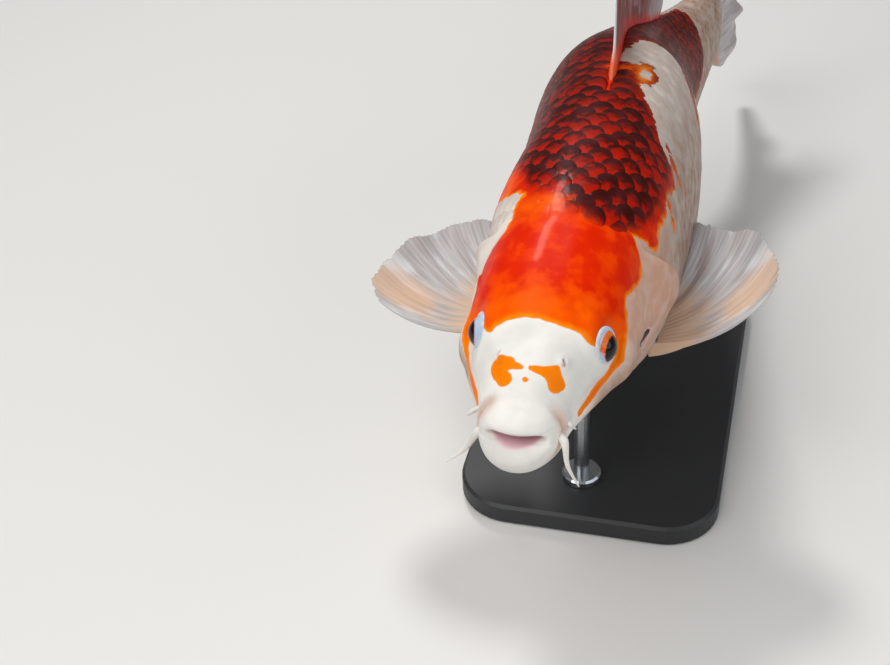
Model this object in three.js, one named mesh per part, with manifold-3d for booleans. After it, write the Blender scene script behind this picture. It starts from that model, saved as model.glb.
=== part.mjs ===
// A koi carp at life size, as a still model on a plain display stand.
// Millimetres, +Z up. The fish is first built straight: +Y runs from its lips to its tail,
// +X is its own left and +Z its back. Its body is then curved as it swims, pitched nose up
// and lifted onto the stand, whose base is centred on the origin.

import * as THREE from "three";
import { mergeVertices } from "three/addons/utils/BufferGeometryUtils.js";
import Module from "manifold-3d";

const wasm = await Module();
wasm.setup();

// ---------------------------------------------------------------- driving dimensions

const BODY_LENGTH = 470; // lips to the root of the tail fin
const GAP = 0.35; // between pieces that touch
const AROUND = 32; // points round the body

// Cross-sections. `at` is the distance behind the lips, `back` and `belly` the heights of
// the ridge and the keel, `half` half the width, `level` the height of the widest point.
// `upper` and `lower` say how square each half is: 2 is an ellipse.
const STATIONS = [
  { name: "lips", at: 0, back: 8, belly: -13.2, half: 14.6, level: -2.5, upper: 2.2, lower: 2.25 },
  { name: "lip back", at: 5, back: 11.5, belly: -18.2, half: 16.8, level: -3, upper: 2.25, lower: 2.1 },
  { name: "chin", at: 12, back: 16.8, belly: -20.8, half: 18.2, level: -3.5, upper: 2.3, lower: 1.95 },
  { name: "nostrils", at: 22, back: 24, belly: -21.5, half: 20.6, level: -2, upper: 2.4, lower: 1.8 },
  { name: "snout", at: 34, back: 31.5, belly: -22, half: 25.8, level: 0, upper: 2.5, lower: 1.6 },
  { name: "eyes", at: 46, back: 38, belly: -24, half: 30.8, level: 2, upper: 2.45, lower: 1.5 },
  { name: "cheeks", at: 62, back: 45.8, belly: -29, half: 35, level: 3.5, upper: 2.4, lower: 1.5 },
  { name: "nape", at: 95, back: 57.5, belly: -40.5, half: 37.5, level: 6, upper: 2.33, lower: 1.6 },
  { name: "gills", at: 130, back: 68, belly: -52, half: 42, level: 8, upper: 2.42, lower: 1.85 },
  { name: "shoulder", at: 170, back: 77, belly: -61, half: 42, level: 8.5, upper: 2.25, lower: 2 },
  { name: "dorsal root", at: 210, back: 81.5, belly: -65, half: 43.5, level: 9, upper: 2.25, lower: 2.15 },
  { name: "middle", at: 260, back: 80.5, belly: -61, half: 43.5, level: 8.5, upper: 2.25, lower: 2.1 },
  { name: "loin", at: 310, back: 68, belly: -51, half: 37.5, level: 6, upper: 2, lower: 2.05 },
  { name: "vent", at: 360, back: 50.5, belly: -38.5, half: 28, level: 4, upper: 2, lower: 2 },
  { name: "tail stalk", at: 405, back: 36, belly: -30.5, half: 20, level: 2, upper: 2, lower: 2 },
  { name: "narrowest", at: 437, back: 30, belly: -28, half: 14, level: 1, upper: 2, lower: 2 },
  { name: "fin root", at: 460, back: 30.5, belly: -30, half: 9.5, level: 0, upper: 2, lower: 2 },
  { name: "end", at: BODY_LENGTH, back: 32, belly: -32, half: 6.5, level: 0, upper: 2, lower: 2 },
];

// The mouth, from the end of its hollow out to the crest of the lips.
const MOUTH = [
  { at: 17, back: -0.2, belly: -3.6, half: 5, level: -1.8 },
  { at: 10, back: 0.6, belly: -4.4, half: 8.4, level: -1.6 },
  { at: 3, back: 1.4, belly: -4.2, half: 10.6, level: -1.2 },
  { at: -1, back: 2, belly: -4.6, half: 12, level: -1.2 },
  { at: -2.6, back: 4.6, belly: -8.6, half: 13.3, level: -1.8 },
];
const MOUTH_LINE = -1.7; // height at which the jaws part
const UPPER_JAW_BACK = 13;
const LOWER_JAW_BACK = 26;

// The front of the head is rounded: its sides fall back from the middle, and it leans.
const SIDE_FALLBACK = [[0, 7], [12, 5], [30, 2], [60, 0], [BODY_LENGTH, 0]];
const FRONT_LEAN = [[0, -0.1], [8, -0.06], [24, 0.08], [60, 0], [BODY_LENGTH, 0]];
// The head is rolled a little: its snout and all that lies under the eyes lean to the right.
const NOSE_ASIDE = [[0, -0.4], [5, -0.3], [30, 0], [BODY_LENGTH, 0]];
const JAW_ASIDE = [[0, 0.055], [14, 0.065], [36, 0.09], [55, 0.09], [110, 0], [BODY_LENGTH, 0]];
const EYE_LEVEL = 18; // height over which the head no longer leans

// The swimming curve, in degrees: how the spine turns to the fish's left, and how it rises.
const TURN = [
  [0, 0], [110, 1], [160, 1.5], [195, -1.5], [235, -4.5], [275, -3], [330, 6],
  [380, 13], [440, 14], [490, 6], [580, -6],
];
const RISE = [[0, 0], [200, 0], [290, 5], [380, 11], [480, 11]];

const HEAD_BACK = 118; // where the skull and the trunk meet on the back
const TRUNK_BACK = 290;

const EYE = { x: 21.5, y: 45, z: 19.5, radius: 8.5 };
const GILL_COVER = { front: 78, back: 132, top: 34, bottom: -37, inner: 16, opening: 1.5 };

const PITCH = THREE.MathUtils.degToRad(10); // nose up
const LIPS_HEIGHT = 160; // of the lips above the floor
const BALANCE = new THREE.Vector2(4.95, 218.69); // point of the straight fish over the stand's centre

const BASE = { length: 216, width: 132, height: 12, corner: 26, bevel: 1.5 };
const ROD = { radius: 4, collar: 10, collarHeight: 4, pad: 9, padHeight: 12 };
const ROD_PLACES = { front: 150, rear: 278 };

const COLOURS = {
  white: { color: 0xe9e2d8, roughness: 0.4 },
  orange: { color: 0xe8480f, roughness: 0.4 },
  fin: { color: 0xdfe0e2, roughness: 0.45 },
  eye: { color: 0x14161c, roughness: 0.08 },
  stand: { color: 0x2c2d2f, roughness: 0.5 },
  rod: { color: 0xb9bcc0, roughness: 0.3, metalness: 1 },
};

// ---------------------------------------------------------------- curves and solids

// A smooth value between the rows of a table of [place, value], with Hermite slopes.
function smooth(rows, at) {
  const last = rows.length - 1;
  const t = THREE.MathUtils.clamp(at, rows[0][0], rows[last][0]);
  let i = 0;
  while (i < last - 1 && t > rows[i + 1][0]) i += 1;
  const slope = (k) => {
    const [x0, y0] = rows[Math.max(k - 1, 0)];
    const [x1, y1] = rows[Math.min(k + 1, last)];
    return (y1 - y0) / (x1 - x0);
  };
  const [xa, ya] = rows[i];
  const [xb, yb] = rows[i + 1];
  const h = xb - xa;
  const u = (t - xa) / h;
  const rise = u * u * (3 - 2 * u);
  return ya + (yb - ya) * rise + h * u * (1 - u) * (slope(i) * (1 - u) - slope(i + 1) * u);
}

const PROFILE = {};
for (const key of ["back", "belly", "half", "level", "upper", "lower"]) {
  PROFILE[key] = STATIONS.map((station) => [station.at, station[key]]);
}

// The cross-section at a distance behind the lips, made larger all round by `grow`.
function section(at, grow = 0) {
  const found = { at };
  for (const key of Object.keys(PROFILE)) found[key] = smooth(PROFILE[key], at);
  found.back += grow;
  found.belly -= grow;
  found.half += grow;
  return found;
}

const signedPower = (value, power) => Math.sign(value) * Math.abs(value) ** power;

// A point of a cross-section: angle 0 is the fish's left and a quarter turn is its back.
function onSection(form, angle) {
  const side = Math.cos(angle);
  const rise = Math.sin(angle);
  const square = 2 / (rise > 0 ? form.upper : form.lower);
  const reach = rise > 0 ? form.back - form.level : form.level - form.belly;
  const z = form.level + reach * signedPower(rise, square);
  const fallback = smooth(SIDE_FALLBACK, form.at) * side * side;
  const lean = smooth(FRONT_LEAN, form.at) * (z - form.level);
  const under = (EYE_LEVEL - z + Math.hypot(EYE_LEVEL - z, 6)) / 2;
  const aside = smooth(NOSE_ASIDE, form.at) - smooth(JAW_ASIDE, form.at) * under;
  const x = form.half * signedPower(side, square) + aside;
  return new THREE.Vector3(x, form.at + fallback - lean, z);
}

function ringOf(form) {
  const ring = [];
  for (let i = 0; i < AROUND; i += 1) ring.push(onSection(form, (i / AROUND) * 2 * Math.PI));
  return ring;
}

// The spine, as places 1 mm apart with the fish's own directions there.
const SPINE_START = -60;
const SPINE = [];
for (let at = SPINE_START; at <= BODY_LENGTH + 200; at += 1) {
  const turn = THREE.MathUtils.degToRad(smooth(TURN, at));
  const rise = THREE.MathUtils.degToRad(smooth(RISE, at));
  const aside = new THREE.Vector3(Math.cos(turn), -Math.sin(turn), 0);
  const along = new THREE.Vector3(Math.sin(turn), Math.cos(turn), 0).multiplyScalar(Math.cos(rise));
  along.z = Math.sin(rise);
  const up = new THREE.Vector3().crossVectors(aside, along);
  const middle = SPINE.length
    ? SPINE.at(-1).middle.clone().add(SPINE.at(-1).along)
    : new THREE.Vector3(0, SPINE_START, 0);
  SPINE.push({ middle, along, aside, up });
}

// Carries a point of the straight fish onto its swimming curve.
function bend(point) {
  const i = THREE.MathUtils.clamp(Math.floor(point.y - SPINE_START), 0, SPINE.length - 2);
  const part = point.y - SPINE_START - i;
  const between = (key) => SPINE[i][key].clone().lerp(SPINE[i + 1][key], part);
  return between("middle")
    .addScaledVector(between("aside"), point.x)
    .addScaledVector(between("up"), point.z);
}

function bent(geometry) {
  const position = geometry.getAttribute("position");
  const point = new THREE.Vector3();
  for (let i = 0; i < position.count; i += 1) {
    point.copy(bend(point.fromBufferAttribute(position, i)));
    position.setXYZ(i, point.x, point.y, point.z);
  }
  return geometry;
}

// A closed skin through rings of points, each ring closed round by a fan to its middle.
function loft(rings) {
  const count = rings[0].length;
  const points = rings.flat();
  const faces = [];
  for (let r = 0; r + 1 < rings.length; r += 1) {
    for (let i = 0; i < count; i += 1) {
      const a = r * count + i;
      const b = r * count + ((i + 1) % count);
      faces.push(a, a + count, b, b, a + count, b + count);
    }
  }
  for (const end of [0, rings.length - 1]) {
    const middle = rings[end].reduce((sum, p) => sum.add(p), new THREE.Vector3());
    points.push(middle.divideScalar(count));
    for (let i = 0; i < count; i += 1) {
      const a = end * count + i;
      const b = end * count + ((i + 1) % count);
      faces.push(...(end ? [b, a, points.length - 1] : [a, b, points.length - 1]));
    }
  }
  return new THREE.BufferGeometry().setFromPoints(points).setIndex(faces);
}

// A geometry as a manifold solid that faces outwards, and back again.
function solid(geometry) {
  const bare = geometry.clone();
  bare.deleteAttribute("normal");
  bare.deleteAttribute("uv");
  const merged = mergeVertices(bare, 1e-4);
  const build = (triVerts) => {
    const vertProperties = new Float32Array(merged.attributes.position.array);
    return new wasm.Manifold(new wasm.Mesh({ numProp: 3, vertProperties, triVerts }));
  };
  const made = build(new Uint32Array(merged.index.array));
  if (made.volume() > 0) return made;
  return build(new Uint32Array(merged.index.array).reverse());
}

function geometryOf(made) {
  const mesh = made.getMesh();
  const array = new Float32Array(mesh.numVert * 3);
  for (let i = 0; i < mesh.numVert; i += 1) {
    array.set(mesh.vertProperties.subarray(i * mesh.numProp, i * mesh.numProp + 3), i * 3);
  }
  return new THREE.BufferGeometry()
    .setAttribute("position", new THREE.BufferAttribute(array, 3))
    .setIndex(new THREE.BufferAttribute(mesh.triVerts, 1));
}

function boxBetween(low, high) {
  const [w, d, h] = [0, 1, 2].map((k) => high[k] - low[k]);
  const box = new THREE.BoxGeometry(w, d, h);
  box.translate(low[0] + w / 2, low[1] + d / 2, low[2] + h / 2);
  return solid(box);
}

// ---------------------------------------------------------------- body

// Places of the rings: close together at the lips, wider apart along the trunk.
const RING_PLACES = [0];
while (RING_PLACES.at(-1) < BODY_LENGTH) {
  const at = RING_PLACES.at(-1);
  RING_PLACES.push(Math.min(at + Math.min(16, 3.2 + at * 0.1), BODY_LENGTH));
}

// The body from one place to another.
function bodyLength(from, to, grow = 0) {
  const places = [from, ...RING_PLACES.filter((at) => at > from + 1 && at < to - 1), to];
  return places.map((at) => ringOf(section(at, grow)));
}

function mouthRings() {
  return MOUTH.map((form) => ringOf({ upper: 2.2, lower: 2.2, ...form }));
}

const grownBody = solid(bent(loft(bodyLength(0, BODY_LENGTH, GAP))));

// The outline of a gill cover in side view, made larger by `front` and `back`, and pushed
// through the side of the head. `side` is 1 on the fish's left and -1 on its right.
function gillCutter(side, front, back, inner) {
  const g = GILL_COVER;
  const middle = (g.top + g.bottom) / 2;
  const shape = new THREE.Shape();
  shape.moveTo(g.front + 6 - front, g.top + front);
  shape.bezierCurveTo(
    g.back - 18 + back, g.top + back,
    g.back + back, middle + 22,
    g.back + back, middle + 4,
  );
  shape.bezierCurveTo(
    g.back + back, middle - 20,
    g.back - 22 + back, g.bottom - back,
    g.front - front, g.bottom - back,
  );
  shape.quadraticCurveTo(g.front - 9 - front, middle, g.front + 6 - front, g.top + front);
  const reach = 60;
  const cutter = new THREE.ExtrudeGeometry(shape, {
    depth: reach,
    bevelEnabled: false,
    curveSegments: 8,
  });
  const along = new THREE.Vector3(0, 1, 0);
  const up = new THREE.Vector3(0, 0, 1);
  cutter.applyMatrix4(new THREE.Matrix4().makeBasis(along, up, new THREE.Vector3(1, 0, 0)));
  cutter.translate(side > 0 ? inner : -inner - reach, 0, 0);
  return solid(cutter);
}

function eyeBall(side, radius) {
  const ball = new THREE.SphereGeometry(radius, 14, 9);
  ball.rotateZ(Math.PI / 2);
  ball.translate(side * EYE.x, EYE.y, EYE.z);
  return ball;
}

const pieces = []; // each is { name, made, look }, in the fish's own frame
const addPiece = (name, made, look) => pieces.push({ name, made, look });

// Head, jaws and gill covers are cut from one solid, so that their outlines agree.
function buildHead() {
  const whole = solid(bent(loft([...mouthRings(), ...bodyLength(0, HEAD_BACK)])));
  const wide = 60;
  const lower = [[-wide, -20, -wide], [wide, LOWER_JAW_BACK, MOUTH_LINE]];
  const upper = [[-wide, -20, MOUTH_LINE], [wide, UPPER_JAW_BACK, wide]];
  addPiece("lower_jaw", whole.intersect(boxBetween(...lower)), "white");
  const upperBox = boxBetween([-wide, -20, MOUTH_LINE + GAP], upper[1]);
  addPiece("upper_jaw", whole.intersect(upperBox), "white");

  let head = whole;
  for (const [low, high] of [lower, upper]) {
    const back = [high[0], high[1] + GAP, high[2] + GAP];
    head = head.subtract(boxBetween(low, back));
  }
  for (const side of [1, -1]) {
    head = head.subtract(gillCutter(side, GAP, GILL_COVER.opening, GILL_COVER.inner - GAP));
    head = head.subtract(solid(eyeBall(side, EYE.radius + GAP)));
  }
  addPiece("head", head, "white");

  const covered = solid(bent(loft(bodyLength(60, 150))));
  for (const [side, word] of [[1, "left"], [-1, "right"]]) {
    const cover = covered.intersect(gillCutter(side, 0, 0, GILL_COVER.inner));
    addPiece("gill_cover_" + word, cover, "white");
    addPiece("eye_" + word, solid(eyeBall(side, EYE.radius)), "eye");
  }
}

function buildTrunk() {
  let trunk = solid(bent(loft(bodyLength(HEAD_BACK + GAP, TRUNK_BACK))));
  for (const side of [1, -1]) {
    trunk = trunk.subtract(gillCutter(side, GAP, GILL_COVER.opening, GILL_COVER.inner - GAP));
  }
  addPiece("trunk", trunk, "orange");
  const stalk = bent(loft(bodyLength(TRUNK_BACK + GAP, BODY_LENGTH)));
  addPiece("tail_stalk", solid(stalk), "white");
}

// ---------------------------------------------------------------- barbels

const BARBELS = {
  barbel_long_left: { root: [16.2, 9.5, -4.2], way: [0.14, -0.06, -0.95], length: 23, thick: 3.2 },
  barbel_long_right: { root: [-17.6, 9.5, -5], way: [-0.5, 0.02, -0.86], length: 23, thick: 3.2 },
  barbel_short_left: { root: [17.4, 15, 0], way: [0.5, 0.35, -0.79], length: 5, thick: 1.6 },
  barbel_short_right: { root: [-21.8, 15, 0], way: [-0.5, 0.35, -0.79], length: 5, thick: 1.6 },
};
const BARBEL_CURL = 0.22; // how far a tip bends back, as a share of the length

// A barbel tapers from its root to a soft point along a gentle curve.
function barbel(spec) {
  const root = new THREE.Vector3(...spec.root);
  const way = new THREE.Vector3(...spec.way).normalize();
  const middle = root.clone().addScaledVector(way, spec.length / 2);
  const tip = root.clone().addScaledVector(way, spec.length);
  tip.y += BARBEL_CURL * spec.length;
  const curve = new THREE.QuadraticBezierCurve3(root, middle, tip);
  const steps = 10;
  const sides = 8;
  const { normals, binormals } = curve.computeFrenetFrames(steps, false);
  const rings = [];
  for (let i = 0; i <= steps; i += 1) {
    const u = i / steps;
    const radius = (spec.thick / 2) * (1 - 0.78 * u ** 1.2);
    const centre = curve.getPointAt(u);
    rings.push(Array.from({ length: sides }, (_, k) => {
      const turn = (k / sides) * 2 * Math.PI;
      return centre.clone()
        .addScaledVector(normals[i], Math.cos(turn) * radius)
        .addScaledVector(binormals[i], Math.sin(turn) * radius);
    }));
  }
  return solid(bent(loft(rings))).subtract(grownBody);
}

function buildBarbels() {
  for (const [name, spec] of Object.entries(BARBELS)) addPiece(name, barbel(spec), "white");
}

// ---------------------------------------------------------------- fins

// A fin is a fan of rays. `root` gives the place of each ray's base, `reach` the lengths of the
// rays from the leading edge to the trailing edge, `fan` their directions in degrees from
// straight back, `sweep` the share of that by which they bend back at their tips and `cup` how far the
// fin bellies out. `place` puts a point of the fin (back, out, aside) on the fish.
function fin({ root, reach, fan, sweep, cup = 0, thick, rays = 14, steps = 6, place }) {
  const grid = [];
  for (let r = 0; r <= rays; r += 1) {
    const v = r / rays;
    const length = smooth(reach, v);
    const angle = THREE.MathUtils.degToRad(smooth(fan, v));
    const [back, out] = root(v);
    const row = [];
    for (let s = 0; s <= steps; s += 1) {
      const u = s / steps;
      const turn = angle * (1 - sweep * u);
      const aside = cup * u * u * Math.sin(Math.PI * (0.2 + 0.6 * v));
      const half = THREE.MathUtils.lerp(thick[0], thick[1], u) / 2;
      const p = back + length * u * Math.cos(turn);
      const q = out + length * u * Math.sin(turn);
      row.push([aside + half, aside - half].map((w) => place(p, q, w)));
    }
    grid.push(row);
  }
  // Each ring runs out along one face of a ray and back along the other.
  const rings = grid.map((row) => [
    ...row.map((pair) => pair[0]),
    ...row.map((pair) => pair[1]).reverse(),
  ]);
  return bent(loft(rings));
}

const { lerp } = THREE.MathUtils;
const onMedian = (back, out, aside) => new THREE.Vector3(aside, back, out);

// A paired fin lies in its own plane: `rise` tips it up outwards and `climb` up backwards.
function pairedPlace(side, hinge, rise, climb) {
  const outwards = new THREE.Vector3(1, 0, Math.tan(THREE.MathUtils.degToRad(rise))).normalize();
  const backwards = new THREE.Vector3(0, 1, Math.tan(THREE.MathUtils.degToRad(climb)));
  backwards.addScaledVector(outwards, -backwards.dot(outwards)).normalize();
  const normal = new THREE.Vector3().crossVectors(outwards, backwards);
  return (back, out, aside) => {
    const point = new THREE.Vector3(...hinge)
      .addScaledVector(backwards, back)
      .addScaledVector(outwards, out)
      .addScaledVector(normal, aside);
    point.x *= side;
    return point;
  };
}

const PECTORAL_HINGE = [33, 138, -20];
const FINS = {
  dorsal_fin: {
    root: (v) => [lerp(190, 372, v), section(lerp(190, 372, v)).back - 5],
    reach: [[0, 66], [0.06, 74], [0.25, 56], [0.6, 42], [1, 36]],
    fan: [[0, 64], [0.3, 54], [1, 34]],
    sweep: 0.14, cup: -11, thick: [4, 0.9], rays: 16, steps: 4, place: onMedian,
  },
  anal_fin: {
    root: (v) => [lerp(350, 392, v), section(lerp(350, 392, v)).belly + 5],
    reach: [[0, 54], [0.12, 58], [0.5, 40], [1, 28]],
    fan: [[0, -66], [1, -28]],
    sweep: 0.15, cup: 2, thick: [4, 0.9], rays: 8, steps: 4, place: onMedian,
  },
  caudal_fin_upper: {
    root: (v) => [BODY_LENGTH + 0.5, lerp(31, 0.5, v)],
    reach: [[0, 112], [0.1, 114], [0.5, 82], [1, 48]],
    fan: [[0, 36], [0.5, 22], [1, 3]],
    sweep: 0.3, cup: 8, thick: [7, 1], rays: 12, steps: 6, place: onMedian,
  },
  caudal_fin_lower: {
    root: (v) => [BODY_LENGTH + 0.5, lerp(-0.5, -31, v)],
    reach: [[0, 48], [0.5, 80], [0.9, 110], [1, 106]],
    fan: [[0, -3], [0.5, -22], [1, -36]],
    sweep: 0.3, cup: 8, thick: [7, 1], rays: 12, steps: 6, place: onMedian,
  },
  pectoral_fin_left: {
    root: (v) => [lerp(-8, 12, v), 0],
    reach: [[0, 64], [0.12, 74], [0.35, 77], [0.6, 67], [0.85, 60], [1, 48]],
    fan: [[0, 84], [0.5, 44], [1, 14]],
    sweep: 0.36, cup: 5, thick: [6, 0.9], rays: 12, steps: 6,
    place: pairedPlace(1, PECTORAL_HINGE, 4, 20),
  },
  pectoral_fin_right: {
    root: (v) => [lerp(-8, 12, v), 0],
    reach: [[0, 65], [0.15, 76], [0.5, 74], [0.8, 66], [1, 52]],
    fan: [[0, 112], [0.5, 64], [1, 24]],
    sweep: 0.26, cup: 5, thick: [6, 0.9], rays: 12, steps: 6,
    place: pairedPlace(-1, PECTORAL_HINGE, -2, 14),
  },
  pelvic_fin_left: {
    root: (v) => [lerp(-5, 9, v), 0],
    reach: [[0, 58], [0.2, 62], [0.6, 50], [1, 32]],
    fan: [[0, 46], [1, 4]],
    sweep: 0.3, cup: 3, thick: [4, 0.9], rays: 8, steps: 4, place: pairedPlace(1, [20, 220, -52], -24, 4),
  },
  pelvic_fin_right: {
    root: (v) => [lerp(-5, 9, v), 0],
    reach: [[0, 58], [0.2, 62], [0.6, 50], [1, 32]],
    fan: [[0, 46], [1, 4]],
    sweep: 0.3, cup: 3, thick: [4, 0.9], rays: 8, steps: 4, place: pairedPlace(-1, [20, 220, -52], -24, 4),
  },
};

function buildFins() {
  for (const [name, spec] of Object.entries(FINS)) {
    addPiece(name, solid(fin(spec)).subtract(grownBody), "fin");
  }
}

// ---------------------------------------------------------------- assembly

const koi = new THREE.Group();
const fish = new THREE.Group();
fish.rotation.x = -PITCH;
const balance = bend(new THREE.Vector3(BALANCE.x, BALANCE.y, 0)).applyEuler(fish.rotation);
fish.position.set(-balance.x, -balance.y, LIPS_HEIGHT);
fish.updateMatrix();
koi.add(fish);

buildHead();
buildTrunk();
buildBarbels();
buildFins();

function addMesh(parent, { name, made, look }) {
  const mesh = new THREE.Mesh(geometryOf(made), new THREE.MeshStandardMaterial(COLOURS[look]));
  mesh.name = name;
  parent.add(mesh);
}
for (const piece of pieces) addMesh(fish, piece);

// ---------------------------------------------------------------- stand

function roundedPlate({ length, width, height, corner, bevel }) {
  const [a, b] = [width / 2 - bevel, length / 2 - bevel];
  const shape = new THREE.Shape();
  shape.moveTo(-a + corner, -b);
  shape.lineTo(a - corner, -b);
  shape.absarc(a - corner, -b + corner, corner, -Math.PI / 2, 0);
  shape.absarc(a - corner, b - corner, corner, 0, Math.PI / 2);
  shape.absarc(-a + corner, b - corner, corner, Math.PI / 2, Math.PI);
  shape.absarc(-a + corner, -b + corner, corner, Math.PI, 1.5 * Math.PI);
  const plate = new THREE.ExtrudeGeometry(shape, {
    depth: height - 2 * bevel,
    bevelThickness: bevel,
    bevelSize: bevel,
    bevelSegments: 1,
    curveSegments: 5,
  });
  return plate.translate(0, 0, bevel);
}

// A rod with a collar on the base and a pad that fits the belly.
function rod(place) {
  const belly = new THREE.Vector3(0, place, section(place).belly);
  const top = bend(belly).applyMatrix4(fish.matrix);
  const foot = BASE.height + GAP;
  const height = top.z + 14 - foot;
  const padFrom = top.z - foot - ROD.padHeight;
  const profile = [
    [0, 0],
    [ROD.collar, 0],
    [ROD.collar, ROD.collarHeight - 1],
    [ROD.collar - 1, ROD.collarHeight],
    [ROD.radius, ROD.collarHeight],
    [ROD.radius, padFrom],
    [ROD.pad, padFrom + ROD.padHeight / 2],
    [ROD.pad, height],
    [0, height],
  ].map(([r, h]) => new THREE.Vector2(r, h));
  const turned = new THREE.LatheGeometry(profile, 16);
  turned.rotateX(Math.PI / 2);
  turned.translate(top.x, top.y, foot);
  const body = solid(geometryOf(grownBody).applyMatrix4(fish.matrix));
  return solid(turned).subtract(body);
}

addMesh(koi, { name: "stand_base", made: solid(roundedPlate(BASE)), look: "stand" });
for (const [word, place] of Object.entries(ROD_PLACES)) {
  addMesh(koi, { name: "stand_rod_" + word, made: rod(place), look: "rod" });
}

export default koi;
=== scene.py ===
"""A koi carp at life size: the finish of a still model that swims over a plain display stand.

The carp is first shaped straight, in millimetres: +Y runs from its lips to its tail, +X is its
own left and +Z its back. `angle` goes round the body in degrees, 0 on the left side and 90 on
the back. Each point is then carried onto the swimming curve and into the frame, in metres.
"""

import math

import bpy
import numpy as np
from bpy.props import FloatProperty, FloatVectorProperty, IntProperty, PointerProperty
from mathutils import Matrix, Vector


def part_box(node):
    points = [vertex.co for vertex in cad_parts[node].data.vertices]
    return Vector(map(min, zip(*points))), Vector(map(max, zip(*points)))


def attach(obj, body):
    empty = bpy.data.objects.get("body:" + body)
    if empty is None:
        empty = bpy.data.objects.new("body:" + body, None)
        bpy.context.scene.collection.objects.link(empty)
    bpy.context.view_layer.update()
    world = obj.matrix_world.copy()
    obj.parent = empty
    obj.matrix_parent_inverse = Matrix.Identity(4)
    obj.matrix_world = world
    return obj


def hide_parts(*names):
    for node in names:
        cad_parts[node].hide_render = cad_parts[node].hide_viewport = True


bl_info = {
    "name": "Koi carp model",
    "version": (1, 0, 0),
    "blender": (4, 5, 0),
    "location": "3D View > Sidebar > Koi",
    "description": "Skin, scales, fins, eyes and display of a life-size koi carp",
    "category": "Object",
}

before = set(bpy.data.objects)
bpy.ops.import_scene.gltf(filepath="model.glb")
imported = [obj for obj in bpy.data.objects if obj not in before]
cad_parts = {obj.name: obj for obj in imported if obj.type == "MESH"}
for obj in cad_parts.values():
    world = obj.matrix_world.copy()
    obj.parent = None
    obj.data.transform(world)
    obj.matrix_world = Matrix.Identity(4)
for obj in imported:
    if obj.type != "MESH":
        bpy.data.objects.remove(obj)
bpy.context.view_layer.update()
BODY = "root"
MM = 0.001

# ---------------------------------------------------------------- the carp's own shape

BODY_LENGTH = 470.0  # lips to the root of the tail fin

# Cross-sections: the distance behind the lips, the heights of the back and the belly, half the
# width, the height of the widest point, and how square each half is (2 is an ellipse).
SECTION_KEYS = ("at", "back", "belly", "half", "level", "upper", "lower")
STATIONS = {
    "lips": (0, 8, -13.2, 14.6, -2.5, 2.2, 2.25),
    "lip back": (5, 11.5, -18.2, 16.8, -3, 2.25, 2.1),
    "chin": (12, 16.8, -20.8, 18.2, -3.5, 2.3, 1.95),
    "nostrils": (22, 24, -21.5, 20.6, -2, 2.4, 1.8),
    "snout": (34, 31.5, -22, 25.8, 0, 2.5, 1.6),
    "eyes": (46, 38, -24, 30.8, 2, 2.45, 1.5),
    "cheeks": (62, 45.8, -29, 35, 3.5, 2.4, 1.5),
    "nape": (95, 57.5, -40.5, 37.5, 6, 2.33, 1.6),
    "gills": (130, 68, -52, 42, 8, 2.42, 1.85),
    "shoulder": (170, 77, -61, 42, 8.5, 2.25, 2),
    "dorsal root": (210, 81.5, -65, 43.5, 9, 2.25, 2.15),
    "middle": (260, 80.5, -61, 43.5, 8.5, 2.25, 2.1),
    "loin": (310, 68, -51, 37.5, 6, 2, 2.05),
    "vent": (360, 50.5, -38.5, 28, 4, 2, 2),
    "tail stalk": (405, 36, -30.5, 20, 2, 2, 2),
    "narrowest": (437, 30, -28, 14, 1, 2, 2),
    "fin root": (460, 30.5, -30, 9.5, 0, 2, 2),
    "end": (470, 32, -32, 6.5, 0, 2, 2),
    "hidden end": (482, 30, -30, 2.2, 0, 2, 2),
}
# The mouth, from the end of its hollow out over the crest of the lips and onto the face.
MOUTH = (
    (15, -0.4, -3.4, 3.6, -1.8, 2.2, 2.2),
    (9, 0.4, -4.2, 6.2, -1.6, 2.2, 2.2),
    (3, 1.2, -4.2, 8.2, -1.2, 2.2, 2.2),
    (-1, 2, -4.6, 9.8, -1.2, 2.2, 2.2),
    (-2.6, 4.6, -8.6, 12.6, -1.8, 2.2, 2.2),
    (0, 8, -13.2, 14.6, -2.5, 2.2, 2.25),
    (5, 11.5, -18.2, 16.8, -3, 2.25, 2.1),
)
# How far the sides of a cross-section lie behind its middle.
SIDE_FALLBACK = ((0, 7), (12, 5), (30, 2), (60, 0), (BODY_LENGTH, 0))
# The head is rolled a little: its snout and all that lies under the eyes lean to the right.
NOSE_ASIDE = ((0, -0.4), (5, -0.3), (30, 0), (BODY_LENGTH, 0))
JAW_ASIDE = ((0, 0.055), (14, 0.065), (36, 0.09), (55, 0.09), (110, 0), (BODY_LENGTH, 0))
EYE_LEVEL = 18.0  # the height under which it leans
# How far forwards a cross-section leans for each millimetre over its widest point.
FRONT_LEAN = ((0, -0.1), (8, -0.06), (24, 0.08), (60, 0), (BODY_LENGTH, 0))

# The swimming curve, in degrees: how the spine turns to the left, and how it rises.
TURN = (
    (0, 0), (110, 1), (160, 1.5), (195, -1.5), (235, -4.5), (275, -3), (330, 6),
    (380, 13), (440, 14), (490, 6), (580, -6),
)
RISE = ((0, 0), (200, 0), (290, 5), (380, 11), (480, 11))

PITCH = math.radians(10)  # nose up
LIPS_HEIGHT = 160.0
BALANCE = (4.95, 218.69, 0.0)  # point of the straight carp over the stand's centre

# Where the gill covers end and the scales begin: angle from the belly to the back, and place.
GILL_EDGE = (
    (-90, 74), (-60, 77), (-40, 82), (-27, 91), (-16, 106), (-8, 117), (-1, 124),
    (7, 120), (20, 108), (33, 99), (45, 95), (55, 92), (72, 87), (90, 92),
)
EDGE_RING = 110.0  # the ring of the skin that is drawn onto that line
EDGE_FROM = 62.0  # rings in front of this one and behind the next keep their places
EDGE_TO = 176.0


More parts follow.
